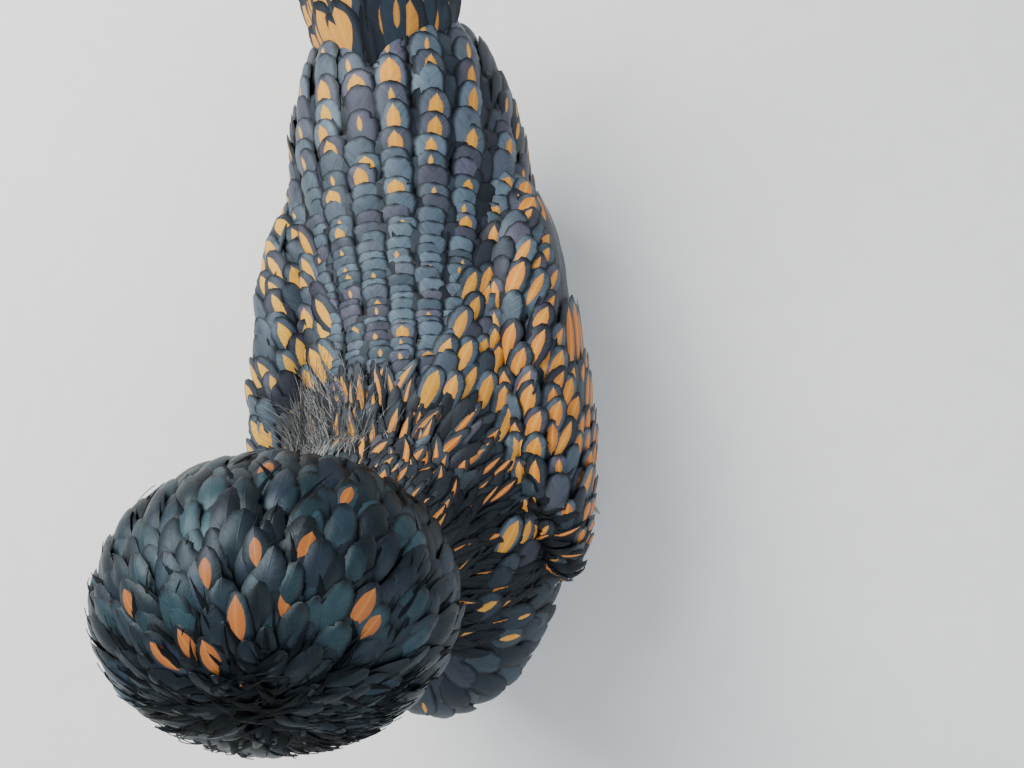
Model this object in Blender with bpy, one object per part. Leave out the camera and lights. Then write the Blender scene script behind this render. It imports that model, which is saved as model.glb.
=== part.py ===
"""A gold-laced crested hen sitting at rest, life size.

Metres, +Z up. The body points to -Y and the bird's left is at +X. The origin is on the floor, under the
middle of the belly. The head leans to the bird's right and is turned a little that way. Every feather
is a closed, tapered vane whose root is sunk into the node it grows from.
"""

import math
import random

import bmesh
import bpy
import numpy as np
from mathutils import Matrix, Vector
from mathutils.bvhtree import BVHTree

SEED = 7

# Clearance between nodes that touch
GAP = 0.0003

# Torso: distance along the body, half width, underside, back
TORSO_STATIONS = (
    (-0.160, 0.000, 0.081, 0.081),
    (-0.153, 0.023, 0.057, 0.100),
    (-0.134, 0.042, 0.034, 0.1165),
    (-0.106, 0.056, 0.012, 0.131),
    (-0.070, 0.064, 0.001, 0.142),
    (-0.035, 0.068, -0.0012, 0.147),
    (0.010, 0.0675, -0.0012, 0.147),
    (0.050, 0.065, 0.003, 0.150),
    (0.085, 0.0620, 0.013, 0.1545),
    (0.117, 0.0570, 0.031, 0.1570),
    (0.141, 0.0480, 0.053, 0.1515),
    (0.159, 0.0330, 0.079, 0.1385),
    (0.169, 0.000, 0.109, 0.109),
)
TORSO_RINGS = 17
TORSO_SIDES = 22

# Neck: a short tapered tube from the breast to the head, bent to the bird's right
NECK_LINE = (
    ((-0.004, -0.062, 0.092), 0.047),
    ((-0.012, -0.077, 0.119), 0.041),
    ((-0.022, -0.091, 0.138), 0.032),
    ((-0.027, -0.099, 0.149), 0.023),
)
NECK_SIDES = 16
NECK_RINGS = 7

# Hackle rows on the neck: share along the neck, count, length, half width, lift of the tips
HACKLE_DEPTH = 0.0045
HACKLE_ROWS = (
    (0.22, 15, 0.040, 0.0088, 0.0008),
    (0.46, 13, 0.043, 0.0087, 0.0017),
    (0.70, 11, 0.043, 0.0082, 0.0025),
)
HACKLE_ROLL = math.radians(8.0)
HACKLE_SETTLE = 0.5
# How much shorter the vanes at the front of the neck are
HACKLE_FRONT_SHORTER = 0.35
# How far the hackle's guide surface lies off the torso
HACKLE_OFF_TORSO = 0.0011

# Head: its middle and its turn to the bird's right
HEAD_CENTRE = Vector((-0.029, -0.106, 0.155))
HEAD_TURN = math.radians(-8.0)
SKULL_SEMI = Vector((0.0165, 0.0220, 0.0185))
FACE_CENTRE = Vector((0.0, -0.0165, -0.0030))
FACE_SEMI = Vector((0.0115, 0.0120, 0.0115))

# Eye, in the head's own axes
EYE_CENTRE = Vector((0.0118, -0.0075, 0.0020))
EYE_RADIUS = 0.0052
EYE_CLEARANCE = 0.0018
LID_RADIUS = 0.0050
LID_THICKNESS = 0.0011
LID_OUTWARD = 0.0034
LID_SQUASH = 0.86
LID_TURN = math.radians(-14.0)

# Bill, in the head's own axes: distance, half width, top, mouth line, underside
BILL_STATIONS = (
    (-0.0200, 0.0082, 0.0040, -0.0035, -0.0090),
    (-0.0270, 0.0072, 0.0036, -0.0042, -0.0092),
    (-0.0340, 0.0054, 0.0014, -0.0052, -0.0092),
    (-0.0400, 0.0032, -0.0028, -0.0066, -0.0090),
    (-0.0437, 0.0014, -0.0078, -0.0096, -0.0104),
)
LOWER_BILL_SHARE = 0.86
BILL_SIDES = 8
NOSTRIL = Vector((0.0056, -0.0305, 0.0006))
NOSTRIL_SEMI = Vector((0.0016, 0.0020, 0.0008))

# Crest: a globe of feathers that grow from a knob on the crown, in the head's own axes
CREST_CENTRE = Vector((0.0, 0.0070, 0.0300))
CREST_SEMI = Vector((0.0605, 0.0480, 0.0500))
CREST_CORE_CENTRE = Vector((0.0, 0.0060, 0.0260))
CREST_CORE_SEMI = CREST_SEMI * 0.44
CREST_POLE = Vector((0.0, -0.62, 0.78))
CREST_SINK = 0.28
CREST_LOWEST = -0.80
# Before the face: how far forward and how low a tip would have to point to hang there
CREST_FACE_FRONT = -0.35
CREST_FACE_TOP = -0.16
# Rows of the crest from the pole outwards: start angle, count, sweep, half width
CREST_ROWS = (
    (2.0, 3, 26.0, 0.0090),
    (13.0, 7, 36.0, 0.0094),
    (28.0, 11, 42.0, 0.0100),
    (44.0, 13, 44.0, 0.0105),
    (60.0, 13, 44.0, 0.0110),
    (76.0, 13, 44.0, 0.0110),
    (92.0, 12, 44.0, 0.0106),
    (109.0, 10, 40.0, 0.0100),
)

# The open space before the face that the crest leaves, in the head's own axes
WINDOW_CENTRE = Vector((0.0, -0.0200, -0.0040))
WINDOW_SEMI = Vector((0.0440, 0.0280, 0.0165))

# Beard and muffs under and beside the bill, in the head's own axes
BEARD_CENTRE = Vector((0.0, -0.0090, -0.0215))
BEARD_SEMI = Vector((0.0300, 0.0270, 0.0225))
BEARD_CORE_SEMI = BEARD_SEMI * 0.55
BEARD_POLE = Vector((0.0, -0.85, 0.53))
BEARD_SINK = 0.40
BEARD_HIGHEST = 0.42
BEARD_REAR = 0.55
BEARD_REAR_TOP = -0.20
# How far the beard stays off the torso, so that the hackle passes under it
BEARD_OFF_TORSO = 0.0045
# Rows of the beard from the pole outwards: start angle, count, sweep, half width
BEARD_ROWS = (
    (12.0, 4, 40.0, 0.0070),
    (36.0, 6, 44.0, 0.0078),
    (62.0, 8, 44.0, 0.0078),
    (86.0, 7, 40.0, 0.0074),
)

# Folded wing, the bird's left one
WING_CENTRE = Vector((0.0530, -0.0100, 0.0895))
WING_SEMI = Vector((0.0205, 0.0930, 0.0415))
WING_PITCH = math.radians(5.0)
WING_YAW = math.radians(3.5)
COVERT_DEPTH = 0.0064
WING_ROLL = math.radians(9.0)
WING_CUP = 0.0006
WING_CONVERGE = 0.30
TIER_SHIFT = 0.35
TIER_BOW = 0.010
# How far the wing's guide surface lies off the torso and off the thigh
WING_OFF_TORSO = 0.0013
WING_OFF_THIGH = 0.0025
# Tiers of the wing from the rear to the front: start, count, lowest, highest, length, half width, lift
WING_TIERS = (
    ("primary", 0.020, 3, -0.026, -0.014, 0.104, 0.0070, 0.0014),
    ("secondary", 0.004, 7, -0.026, 0.037, 0.084, 0.0084, 0.0030),
    ("greater covert", -0.028, 6, -0.036, 0.038, 0.048, 0.0092, 0.0036),
    ("median covert", -0.052, 6, -0.034, 0.034, 0.038, 0.0086, 0.0040),
    ("lesser covert", -0.073, 5, -0.028, 0.027, 0.032, 0.0082, 0.0042),
    ("shoulder covert", -0.088, 3, -0.014, 0.013, 0.026, 0.0080, 0.0044),
)

# Tail: main feathers in two halves that meet like a roof, and two rows of coverts above them
TAIL_ROOT = Vector((0.0, 0.104, 0.129))
TAIL_RISE = math.radians(38.0)
TAIL_CORE_CENTRE = Vector((0.0, 0.0040, -0.0040))
TAIL_CORE_SEMI = Vector((0.0190, 0.0440, 0.0130))
TAIL_ROOT_SPREAD = (0.004, 0.006)
TAIL_YAW = (math.radians(6.5), math.radians(21.0))
TAIL_ROOF = (math.radians(34.0), math.radians(12.0))
TAIL_SAG = math.radians(18.0)
TAIL_STACK = 0.0015
TAIL_SHORTER = 0.18
TAIL_ARCH = 0.06
TAIL_CUP = 0.0010
# Fans of the tail from below: pairs, length, half width, start along the tail, height above its middle
TAIL_FANS = (
    (7, 0.130, 0.0130, 0.006, 0.0000),
    (3, 0.070, 0.0125, 0.010, 0.0035),
    (3, 0.048, 0.0110, 0.004, 0.0070),
)

# Thigh, the bird's left one
THIGH_CENTRE = Vector((0.0470, 0.0020, 0.0370))
THIGH_SEMI = Vector((0.0230, 0.0600, 0.0330))
THIGH_PITCH = math.radians(-10.0)

# Shank and toes, the bird's left foot
HOCK = Vector((0.0460, 0.0480, 0.0110))
ANKLE = Vector((0.0440, -0.0320, 0.0068))
SHANK_RADIUS = 0.0052
TOE_RADIUS = 0.0036
TOE_FLATTEN = 0.90
TOES = (
    ("middle", 4.0, 0.050),
    ("inner", -30.0, 0.037),
    ("outer", 36.0, 0.039),
    ("back", 200.0, 0.017),
)
# Swellings at a toe's joints: share of its length, share of its radius
TOE_SWELLINGS = ((0.0, 1.25), (0.28, 0.95), (0.42, 1.12), (0.62, 0.88), (0.76, 1.0), (1.0, 0.72))
CLAW_LENGTH = 0.0095
CLAW_DROP = 0.0016
CLAW_RINGS = ((0.0, 0.0021), (0.45, 0.0016), (0.8, 0.0009))
CLAW_NARROW = 0.75

# A vane: share of its length, share of its half width, share of its thickness
LONG_VANE = ((0.0, 0.45, 1.0), (0.30, 0.85, 1.0), (0.62, 1.0, 1.0), (0.87, 0.84, 0.9), (1.0, 0.34, 0.7))
SHORT_VANE = ((0.0, 0.50, 1.0), (0.38, 1.0, 1.0), (0.80, 0.90, 0.9), (1.0, 0.36, 0.7))
# How soon a crest or beard vane bends over, its ridge and edge thickness, and how deep its root lies
VANE_CURL = 1.6
VANE_ABOVE = 0.0008
VANE_BELOW = 0.0004
VANE_SINK = 0.0030
# Shares of its sweep that a crest or beard vane is shortened to, in turn, until its tip is clear
VANE_REACHES = (1.0, 0.8, 0.6, 0.45)


def clear_scene():
    for obj in list(bpy.data.objects):
        bpy.data.objects.remove(obj)


def finish_of(name, colour, roughness, metallic=0.0):
    """A Principled material of one colour."""
    made = bpy.data.materials.new(name)
    made.use_nodes = True
    shader = made.node_tree.nodes["Principled BSDF"]
    shader.inputs["Base Color"].default_value = (*colour, 1.0)
    shader.inputs["Roughness"].default_value = roughness
    shader.inputs["Metallic"].default_value = metallic
    return made


def solid(name, points, faces):
    """A mesh object with its faces turned outwards."""
    mesh = bpy.data.meshes.new(name)
    mesh.from_pydata([tuple(p) for p in points], [], faces)
    tidy = bmesh.new()
    tidy.from_mesh(mesh)
    bmesh.ops.recalc_face_normals(tidy, faces=tidy.faces)
    if tidy.calc_volume(signed=True) < 0:
        bmesh.ops.reverse_faces(tidy, faces=tidy.faces)
    tidy.to_mesh(mesh)
    tidy.free()
    obj = bpy.data.objects.new(name, mesh)
    bpy.context.scene.collection.objects.link(obj)
    return obj


def removed(*objects):
    for obj in objects:
        bpy.data.objects.remove(obj)


def smooth_rows(rows, count):
    """Rows read from a smooth curve through the given ones, evenly along it."""
    table = np.array(rows, float)
    padded = np.vstack([2 * table[0] - table[1], table, 2 * table[-1] - table[-2]])
    found = []
    for step in np.linspace(0, len(table) - 1, count):
        i = min(int(step), len(table) - 2)
        t = step - i
        a, b, c, d = padded[i : i + 4]
        row = 2 * b + (c - a) * t + (2 * a - 5 * b + 4 * c - d) * t**2 + (3 * b - a - 3 * c + d) * t**3
        found.append([float(value) / 2 for value in row])
    return found


def skinned(name, rings, first, last):
    """A closed solid through rings of equal count, with a point or a flat cap at each end."""
    sides = len(rings[0])
    points = [p for ring in rings for p in ring]
    faces = []
    for r in range(len(rings) - 1):
        for s in range(sides):
            t = (s + 1) % sides
            faces.append((r * sides + s, r * sides + t, (r + 1) * sides + t, (r + 1) * sides + s))
    for ring, pole in ((0, first), (len(rings) - 1, last)):
        loop = [ring * sides + s for s in range(sides)]
        if pole is None:
            faces.append(tuple(loop))
            continue
        points.append(pole)
        faces.extend((loop[s], loop[(s + 1) % sides], len(points) - 1) for s in range(sides))
    return solid(name, points, faces)


def circle_turns(sides):
    return [2 * math.pi * s / sides for s in range(sides)]


def torso_form(name, grow=0.0):
    """The trunk as rings across the body, grown all round by the given amount."""
    rings = []
    inner = smooth_rows(TORSO_STATIONS, TORSO_RINGS + 2)[1:-1]
    for y, half_width, low, high in inner:
        stretch = (y - inner[0][0]) / (inner[-1][0] - inner[0][0]) * 2 - 1
        rings.append([
            Vector((
                (half_width + grow) * math.cos(turn),
                y + grow * stretch,
                (low + high) / 2 + ((high - low) / 2 + grow) * math.sin(turn),
            ))
            for turn in circle_turns(TORSO_SIDES)
        ])
    front, back = TORSO_STATIONS[0], TORSO_STATIONS[-1]
    return skinned(
        name, rings, Vector((0, front[0] - grow, front[2])), Vector((0, back[0] + grow, back[2]))
    )


def tube_form(name, line, sides, grow=0.0, samples=7, round_ends=False):
    """A tapered tube along a smooth line of (point, radius), with flat or rounded ends."""
    rows = smooth_rows([(*p, r) for p, r in line], samples)
    centres = [Vector(row[:3]) for row in rows]
    rings = []
    for i, centre in enumerate(centres):
        along = (centres[min(i + 1, len(centres) - 1)] - centres[max(i - 1, 0)]).normalized()
        across = along.cross(Vector((0, 0, 1)) if abs(along.z) < 0.9 else Vector((0, 1, 0))).normalized()
        other = along.cross(across)
        radius = rows[i][3] + grow
        rings.append([
            centre + radius * (across * math.cos(t) + other * math.sin(t)) for t in circle_turns(sides)
        ])
    first = last = None
    if round_ends:
        first = centres[0] - (centres[1] - centres[0]).normalized() * (rows[0][3] * 0.6 + grow)
        last = centres[-1] + (centres[-1] - centres[-2]).normalized() * (rows[-1][3] * 0.6 + grow)
    return skinned(name, rings, first, last)


def ellipsoid_form(name, place, semi, grow=0.0, segments=18, rows=12):
    """An ellipsoid with the given half sizes, placed by a matrix."""
    size = [s + grow for s in semi]
    rings = []
    for r in range(1, rows):
        polar = math.pi * r / rows
        rings.append([
            place @ Vector((
                size[0] * math.sin(polar) * math.cos(turn),
                size[1] * math.sin(polar) * math.sin(turn),
                size[2] * math.cos(polar),
            ))
            for turn in circle_turns(segments)
        ])
    return skinned(name, rings, place @ Vector((0, 0, size[2])), place @ Vector((0, 0, -size[2])))


def head_place(offset=(0, 0, 0)):
    """The matrix from the head's own axes to the bird's."""
    turn = Matrix.Rotation(HEAD_TURN, 4, "Z")
    return Matrix.Translation(HEAD_CENTRE) @ turn @ Matrix.Translation(Vector(offset))


def wing_place():
    turn = Matrix.Rotation(WING_YAW, 4, "Z") @ Matrix.Rotation(WING_PITCH, 4, "X")
    return Matrix.Translation(WING_CENTRE) @ turn


def tail_place():
    return Matrix.Translation(TAIL_ROOT) @ Matrix.Rotation(TAIL_RISE, 4, "X")


def thigh_place():
    return Matrix.Translation(THIGH_CENTRE) @ Matrix.Rotation(THIGH_PITCH, 4, "X")


def take_modifiers(obj):
    """Applies the object's modifiers to its mesh."""
    graph = bpy.context.evaluated_depsgraph_get()
    mesh = bpy.data.meshes.new_from_object(obj.evaluated_get(graph))
    obj.modifiers.clear()
    obj.data = mesh


def surface_volume(verts):
    """The volume inside the closed surface that these vertices make."""
    total = 0.0
    for face in {face for vert in verts for face in vert.link_faces}:
        a = face.verts[0].co
        for b, c in zip(face.verts[1:-1], face.verts[2:]):
            total += a.dot(b.co.cross(c.co)) / 6
    return total


def keep_largest(obj):
    """Keeps only the largest closed surface of the mesh."""
    tidy = bmesh.new()
    tidy.from_mesh(obj.data)
    seen = set()
    parts = []
    for start in tidy.verts:
        if start in seen:
            continue
        seen.add(start)
        queue, part = [start], []
        while queue:
            vert = queue.pop()
            part.append(vert)
            near = [edge.other_vert(vert) for edge in vert.link_edges]
            fresh = [other for other in near if other not in seen]
            seen.update(fresh)
            queue.extend(fresh)
        parts.append(part)
    parts.sort(key=surface_volume)
    for part in parts[:-1]:
        bmesh.ops.delete(tidy, geom=part, context="VERTS")
    tidy.to_mesh(obj.data)
    tidy.free()


def fuse(obj, pieces):
    """Joins closed pieces to the object in one union, then removes them.

    The exact solver is slow where dozens of thin vanes cross, so the union takes the manifold one.
    """
    group = bpy.data.collections.new(obj.name + "_pieces")
    bpy.context.scene.collection.children.link(group)
    for piece in pieces:
        bpy.context.scene.collection.objects.unlink(piece)
        group.objects.link(piece)
    union = obj.modifiers.new("Union", "BOOLEAN")
    union.operation = "UNION"
    union.solver = "MANIFOLD"
    union.operand_type = "COLLECTION"
    union.collection = group
    take_modifiers(obj)
    removed(*pieces)
    bpy.data.collections.remove(group)
    keep_largest(obj)
    return obj


def carve(obj, cutters, solver="EXACT"):
    """Takes the cutters away from the object, then removes them."""
    for cutter in cutters:
        cut = obj.modifiers.new("Cut", "BOOLEAN")
        cut.operation = "DIFFERENCE"
        cut.solver = solver
        cut.object = cutter
        take_modifiers(obj)
        removed(cutter)
    keep_largest(obj)
    return obj


def carve_vanes(obj, cutters):
    """The same cut on a node with vanes, where the exact solver is slow."""
    return carve(obj, cutters, "MANIFOLD")


def floor_slab():
    """A block whose top is the floor, used to cut the flats that the bird rests on."""
    size, depth = 0.3, 0.05
    corners = [(x, y, z) for x in (-size, size) for y in (-size, size) for z in (-depth, 0.0)]
    faces = [(0, 1, 3, 2), (4, 6, 7, 5), (0, 4, 5, 1), (2, 3, 7, 6), (0, 2, 6, 4), (1, 5, 7, 3)]
    return solid("floor_slab", corners, faces)


def mirrored(obj, name):
    """The same piece on the bird's other side."""
    points = [Vector((-v.co.x, v.co.y, v.co.z)) for v in obj.data.vertices]
    return solid(name, points, [tuple(p.vertices) for p in obj.data.polygons])


def vane(name, profile, track, half_width, cup=0.0, roll=0.0):
    """A closed tapered vane along a track, with a low ridge on its outer face and a flat inner face.

    A track is the vane's spine points, its width directions and its outward directions. The edges lie
    lower than the spine by the cup, and the roll lifts one edge, so that it lies over the next vane.
    """
    points = []
    for (_, wide, thick), middle, side, out in zip(profile, *track):
        rolled = side * math.cos(roll) + out * math.sin(roll)
        upright = out * math.cos(roll) - side * math.sin(roll)
        reach = rolled * half_width * wide
        drop = upright * (VANE_BELOW * thick + cup * wide * wide)
        points += [middle - reach - drop, middle + upright * VANE_ABOVE * thick, middle + reach - drop]
    faces = [(0, 1, 2), (len(points) - 3, len(points) - 2, len(points) - 1)]
    for i in range(len(profile) - 1):
        a, b = i * 3, (i + 1) * 3
        for first, second in ((0, 1), (2, 1), (0, 2)):
            faces.append((a + first, a + second, b + second))
            faces.append((a + first, b + second, b + first))
    return solid(name, points, faces)


def frame_round(pole):
    """Two directions square to a pole and to each other."""
    pole = pole.normalized()
    side = pole.cross(Vector((0, 0, 1)) if abs(pole.z) < 0.95 else Vector((0, 1, 0))).normalized()
    return side, pole.cross(side), pole


def globe_vane(name, profile, place, semi, pole, start, turn, sweep, half_width, sink):
    """A vane that leaves an ellipsoid's core and bends over to lie in its outer surface."""
    side, other, top = frame_round(pole)
    ring = side * math.cos(turn) + other * math.sin(turn)
    ring_across = other * math.cos(turn) - side * math.sin(turn)
    spine, across, outward = [], [], []
    for share, _, _ in profile:
        angle = start + sweep * share
        level = sink + (1 - sink) * (1 - (1 - share) ** VANE_CURL)
        ray = top * math.cos(angle) + ring * math.sin(angle)
        spine.append(Vector(level * r * s for r, s in zip(ray, semi)))
        across.append(Vector(a * s for a, s in zip(ring_across, semi)).normalized())
    for i in range(len(spine)):
        along = spine[min(i + 1, len(spine) - 1)] - spine[max(i - 1, 0)]
        out = across[i].cross(along).normalized()
        outward.append(out if out.dot(spine[i]) > 0 else -out)
    turned = place.to_3x3()
    track = [place @ p for p in spine], [turned @ a for a in across], [turned @ o for o in outward]
    return vane(name, profile, track, half_width, half_width**2 / (2 * max(semi)))


def globe_of_vanes(name, profile, place, semi, pole, rows, sink, keep, draw):
    """Rows of vanes round a pole, shortened or left out where the rule doesn't allow their tips."""
    side, other, top = frame_round(pole)
    vanes = []
    for row, (start, count, sweep, half_width) in enumerate(rows):
        for i in range(count):
            turn = 2 * math.pi * (i + 0.5 * (row % 2) + draw.uniform(-0.10, 0.10)) / count
            ring = side * math.cos(turn) + other * math.sin(turn)
            for reach in VANE_REACHES:
                tip = math.radians(start + sweep * reach)
                if keep(top * math.cos(tip) + ring * math.sin(tip)):
                    break
            else:
                continue
            vanes.append(globe_vane(
                f"{name}_{row}_{i}", profile, place, semi * draw.uniform(0.97, 1.0), pole,
                math.radians(start + draw.uniform(-2.0, 2.0)), turn,
                math.radians(sweep * reach * draw.uniform(0.94, 1.04)), half_width * draw.uniform(0.94, 1.06),
                sink,
            ))
    return vanes


def walk(guide, profile, start, heading, length, lift, settle=0.0):
    """The track of a vane that lies along a guide surface.

    It rises from its sunk root to the lift, and the settle is the share of that which it loses again.
    """
    steps = 12
    point, normal, _, _ = guide.find_nearest(start)
    heading = (heading - normal * heading.dot(normal)).normalized()
    track = [(point, normal)]
    for _ in range(steps):
        target = point + heading * (length / steps)
        found, normal, _, _ = guide.find_nearest(target)
        moved = found - point
        if moved.length > 1e-6:
            heading = moved.normalized()
        heading = (heading - normal * heading.dot(normal)).normalized()
        point = found
        track.append((point, normal))
    spine, outward = [], []
    for share, _, _ in profile:
        i = min(int(round(share * steps)), steps)
        near = [track[k][1] for k in range(max(i - 2, 0), min(i + 3, steps + 1))]
        normal = sum(near, Vector()).normalized()
        height = -VANE_SINK + (VANE_SINK + lift * (1 - settle * share**3)) * (1 - (1 - share) ** 2)
        spine.append(track[i][0] + normal * height)
        outward.append(normal)
    across = []
    for i in range(len(spine)):
        along = spine[min(i + 1, len(spine) - 1)] - spine[max(i - 1, 0)]
        across.append(along.cross(outward[i]).normalized())
        outward[i] = across[i].cross(along).normalized()
    return spine, across, outward


def guide_from(objects):
    """A search tree over the union of closed forms, which are then removed."""
    first = objects[0]
    if len(objects) > 1:
        fuse(first, objects[1:])
    graph = bpy.context.evaluated_depsgraph_get()
    tree = BVHTree.FromObject(first, graph)
    removed(first)
    return tree


def make_torso():
    return carve(torso_form("torso"), [floor_slab()])


def neck_form(name, grow=0.0):
    return tube_form(name, NECK_LINE, NECK_SIDES, grow, NECK_RINGS, round_ends=True)


def hackle_vanes(draw):
    """Narrow vanes that run down the neck and lie on the shoulders."""
    guide = guide_from([neck_form("neck_guide"), torso_form("torso_guide", HACKLE_OFF_TORSO)])
    rows = smooth_rows([(*p, r) for p, r in NECK_LINE], 101)
    vanes = []
    for row, (share, count, length, half_width, lift) in enumerate(HACKLE_ROWS):
        here = rows[int(share * 100)]
        centre = Vector(here[:3])
        along = (Vector(rows[int(share * 100) + 1][:3]) - centre).normalized()
        side, other, _ = frame_round(along)
        for i in range(count):
            turn = 2 * math.pi * (i + 0.5 * (row % 2) + draw.uniform(-0.12, 0.12)) / count
            ray = side * math.cos(turn) + other * math.sin(turn)
            front = max(-ray.y, 0.0)
            long = length * draw.uniform(0.92, 1.08) * (1 - HACKLE_FRONT_SHORTER * front)
            track = walk(guide, SHORT_VANE, centre + ray * here[3], -along, long, lift, HACKLE_SETTLE)
            wide = half_width * draw.uniform(0.92, 1.06)
            cup = wide**2 / (2 * here[3])
            vanes.append(vane(f"hackle_{row}_{i}", SHORT_VANE, track, wide, cup, HACKLE_ROLL))
    return vanes


def make_neck(draw):
    neck = fuse(neck_form("neck"), hackle_vanes(draw))
    left = wing_envelope("wing_cutter")
    right = mirrored(left, "wing_cutter_right")
    return carve_vanes(neck, [torso_form("torso_cutter", GAP), left, right, *head_cutters()])


def skull_form(name, grow=0.0):
    return ellipsoid_form(name, head_place(), SKULL_SEMI, grow, segments=16, rows=10)


def face_form(name, grow=0.0):
    return ellipsoid_form(name, head_place(FACE_CENTRE), FACE_SEMI, grow, segments=12, rows=8)


def side_of(vector, side):
    return Vector((vector[0] * side, vector[1], vector[2]))


def eye_form(name, side, grow=0.0):
    place = head_place(side_of(EYE_CENTRE, side))
    return ellipsoid_form(name, place, (EYE_RADIUS,) * 3, grow, segments=12, rows=8)


def lid_form(name, side):
    """A ring of bare skin round the eye."""
    around, thick = 10, 4
    place = head_place(side_of(EYE_CENTRE, side)) @ Matrix.Rotation(LID_TURN * side, 4, "Z")
    points = []
    for turn in circle_turns(around):
        for small in circle_turns(thick):
            reach = LID_RADIUS + LID_THICKNESS * math.cos(small)
            out = LID_OUTWARD + LID_THICKNESS * math.sin(small)
            high = LID_SQUASH * reach * math.sin(turn)
            points.append(place @ Vector((side * out, reach * math.cos(turn), high)))
    faces = []
    for i in range(around):
        for j in range(thick):
            a, b = i * thick, ((i + 1) % around) * thick
            k = (j + 1) % thick
            faces.append((a + j, b + j, b + k, a + k))
    return solid(name, points, faces)


def make_head():
    head = fuse(skull_form("head"), [face_form("face"), lid_form("lid_left", 1), lid_form("lid_right", -1)])
    return carve(head, [eye_form("socket_left", 1, GAP), eye_form("socket_right", -1, GAP)])


def bill_form(name, upper, grow=0.0):
    """One half of the bill, cut off flat along the line of the mouth."""
    way = 1 if upper else -1
    reach = 1.0 if upper else LOWER_BILL_SHARE
    base = BILL_STATIONS[0][0]
    rings = []
    for y, half_width, top, mouth, under in smooth_rows(BILL_STATIONS, 7):
        width = half_width * (1.0 if upper else 0.90) + grow
        rise = (top - mouth if upper else mouth - under) + 2 * grow
        line = mouth + way * (GAP / 2 - grow)
        ring = []
        for s in range(BILL_SIDES + 1):
            turn = math.pi * s / BILL_SIDES
            ring.append(head_place() @ Vector((
                width * math.cos(turn),
                base + (y - base) * reach - grow,
                line + way * rise * math.sin(turn) ** 0.8,
            )))
        rings.append(ring)
    return skinned(name, rings, None, None)


def make_bill(name, upper):
    bill = bill_form(name, upper)
    cutters = head_cutters()
    if upper:
        for side in (1, -1):
            place = head_place(side_of(NOSTRIL, side))
            cutters.append(ellipsoid_form("nostril", place, NOSTRIL_SEMI, 0.0, 8, 6))
    return carve(bill, cutters)


def beard_envelope(name, grow=0.0):
    return ellipsoid_form(name, head_place(BEARD_CENTRE), BEARD_SEMI, grow, segments=16, rows=10)


def wing_envelope(name):
    return ellipsoid_form(name, wing_place(), WING_SEMI, COVERT_DEPTH + GAP, segments=24, rows=14)


def neck_envelope(name):
    return neck_form(name, HACKLE_DEPTH + 4 * GAP)


def face_window():
    return ellipsoid_form("face_window", head_place(WINDOW_CENTRE), WINDOW_SEMI, 0.0, 16, 10)


def head_cutters():
    return [skull_form("skull_cutter", GAP), face_form("face_cutter", GAP)]


def bill_cutters():
    return [bill_form("bill_cutter_upper", True, GAP), bill_form("bill_cutter_lower", False, GAP)]


def eye_cutters():
    return [eye_form("eye_cutter", side, EYE_CLEARANCE) for side in (1, -1)]


def crest_keeps(ray):
    """Leaves out crest vanes that would hang below the ears or before the face."""
    before_face = ray.y < CREST_FACE_FRONT and ray.z < CREST_FACE_TOP
    return ray.z > CREST_LOWEST and not before_face


def beard_keeps(ray):
    """Leaves out beard vanes that would cover the face or lie inside the throat."""
    in_throat = ray.y > BEARD_REAR and ray.z > BEARD_REAR_TOP
    return ray.z < BEARD_HIGHEST and not in_throat


def make_crest(draw):
    crest = ellipsoid_form("crest", head_place(CREST_CORE_CENTRE), CREST_CORE_SEMI, 0.0, 16, 10)
    place = head_place(CREST_CENTRE)
    fuse(crest, globe_of_vanes(
        "crest_vane", SHORT_VANE, place, CREST_SEMI, CREST_POLE, CREST_ROWS, CREST_SINK, crest_keeps, draw
    ))
    return carve_vanes(crest, [
        *head_cutters(), neck_envelope("neck_cutter"), beard_envelope("beard_cutter", GAP),
        *eye_cutters(), *bill_cutters(), torso_form("torso_cutter", GAP), face_window(),
    ])


def make_beard(draw):
    place = head_place(BEARD_CENTRE)
    beard = ellipsoid_form("beard", place, BEARD_CORE_SEMI, 0.0, 12, 8)
    fuse(beard, globe_of_vanes(
        "beard_vane", SHORT_VANE, place, BEARD_SEMI * 0.97, BEARD_POLE, BEARD_ROWS, BEARD_SINK,
        beard_keeps, draw,
    ))
    return carve_vanes(beard, [
        *head_cutters(), neck_envelope("neck_cutter"), *bill_cutters(),
        torso_form("torso_cutter", BEARD_OFF_TORSO), *eye_cutters(),
    ])


def wing_vanes(draw):
    """Vanes in tiers from the flight feathers at the rear to the small coverts at the shoulder."""
    place = wing_place()
    core = ellipsoid_form("wing_guide", place, WING_SEMI, 0.0, 40, 24)
    torso = torso_form("torso_guide", WING_OFF_TORSO)
    guide = guide_from([torso, core, thigh_form("thigh_guide", WING_OFF_THIGH)])
    turned = place.to_3x3()
    vanes = []
    for tier, (name, start, count, low, high, length, half_width, lift) in enumerate(WING_TIERS):
        profile = SHORT_VANE if "covert" in name else LONG_VANE
        for i in range(count):
            share = (i + TIER_SHIFT * (tier % 2)) / (count - 1 + TIER_SHIFT)
            height = low + (high - low) * share
            along = start + draw.uniform(-0.002, 0.002) - TIER_BOW * abs(share - 0.5)
            bulge = 1 - (along / WING_SEMI.y) ** 2 - (height / WING_SEMI.z) ** 2
            begin = place @ Vector((WING_SEMI.x * math.sqrt(max(bulge, 0.01)), along, height))
            heading = turned @ Vector((0.0, 1.0, -WING_CONVERGE * height / WING_SEMI.z))
            track = walk(guide, profile, begin, heading, length * draw.uniform(0.95, 1.05), lift)
            wide = half_width * draw.uniform(0.95, 1.05)
            vanes.append(vane(f"{name}_{i}", profile, track, wide, WING_CUP, WING_ROLL))
    return vanes


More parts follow.
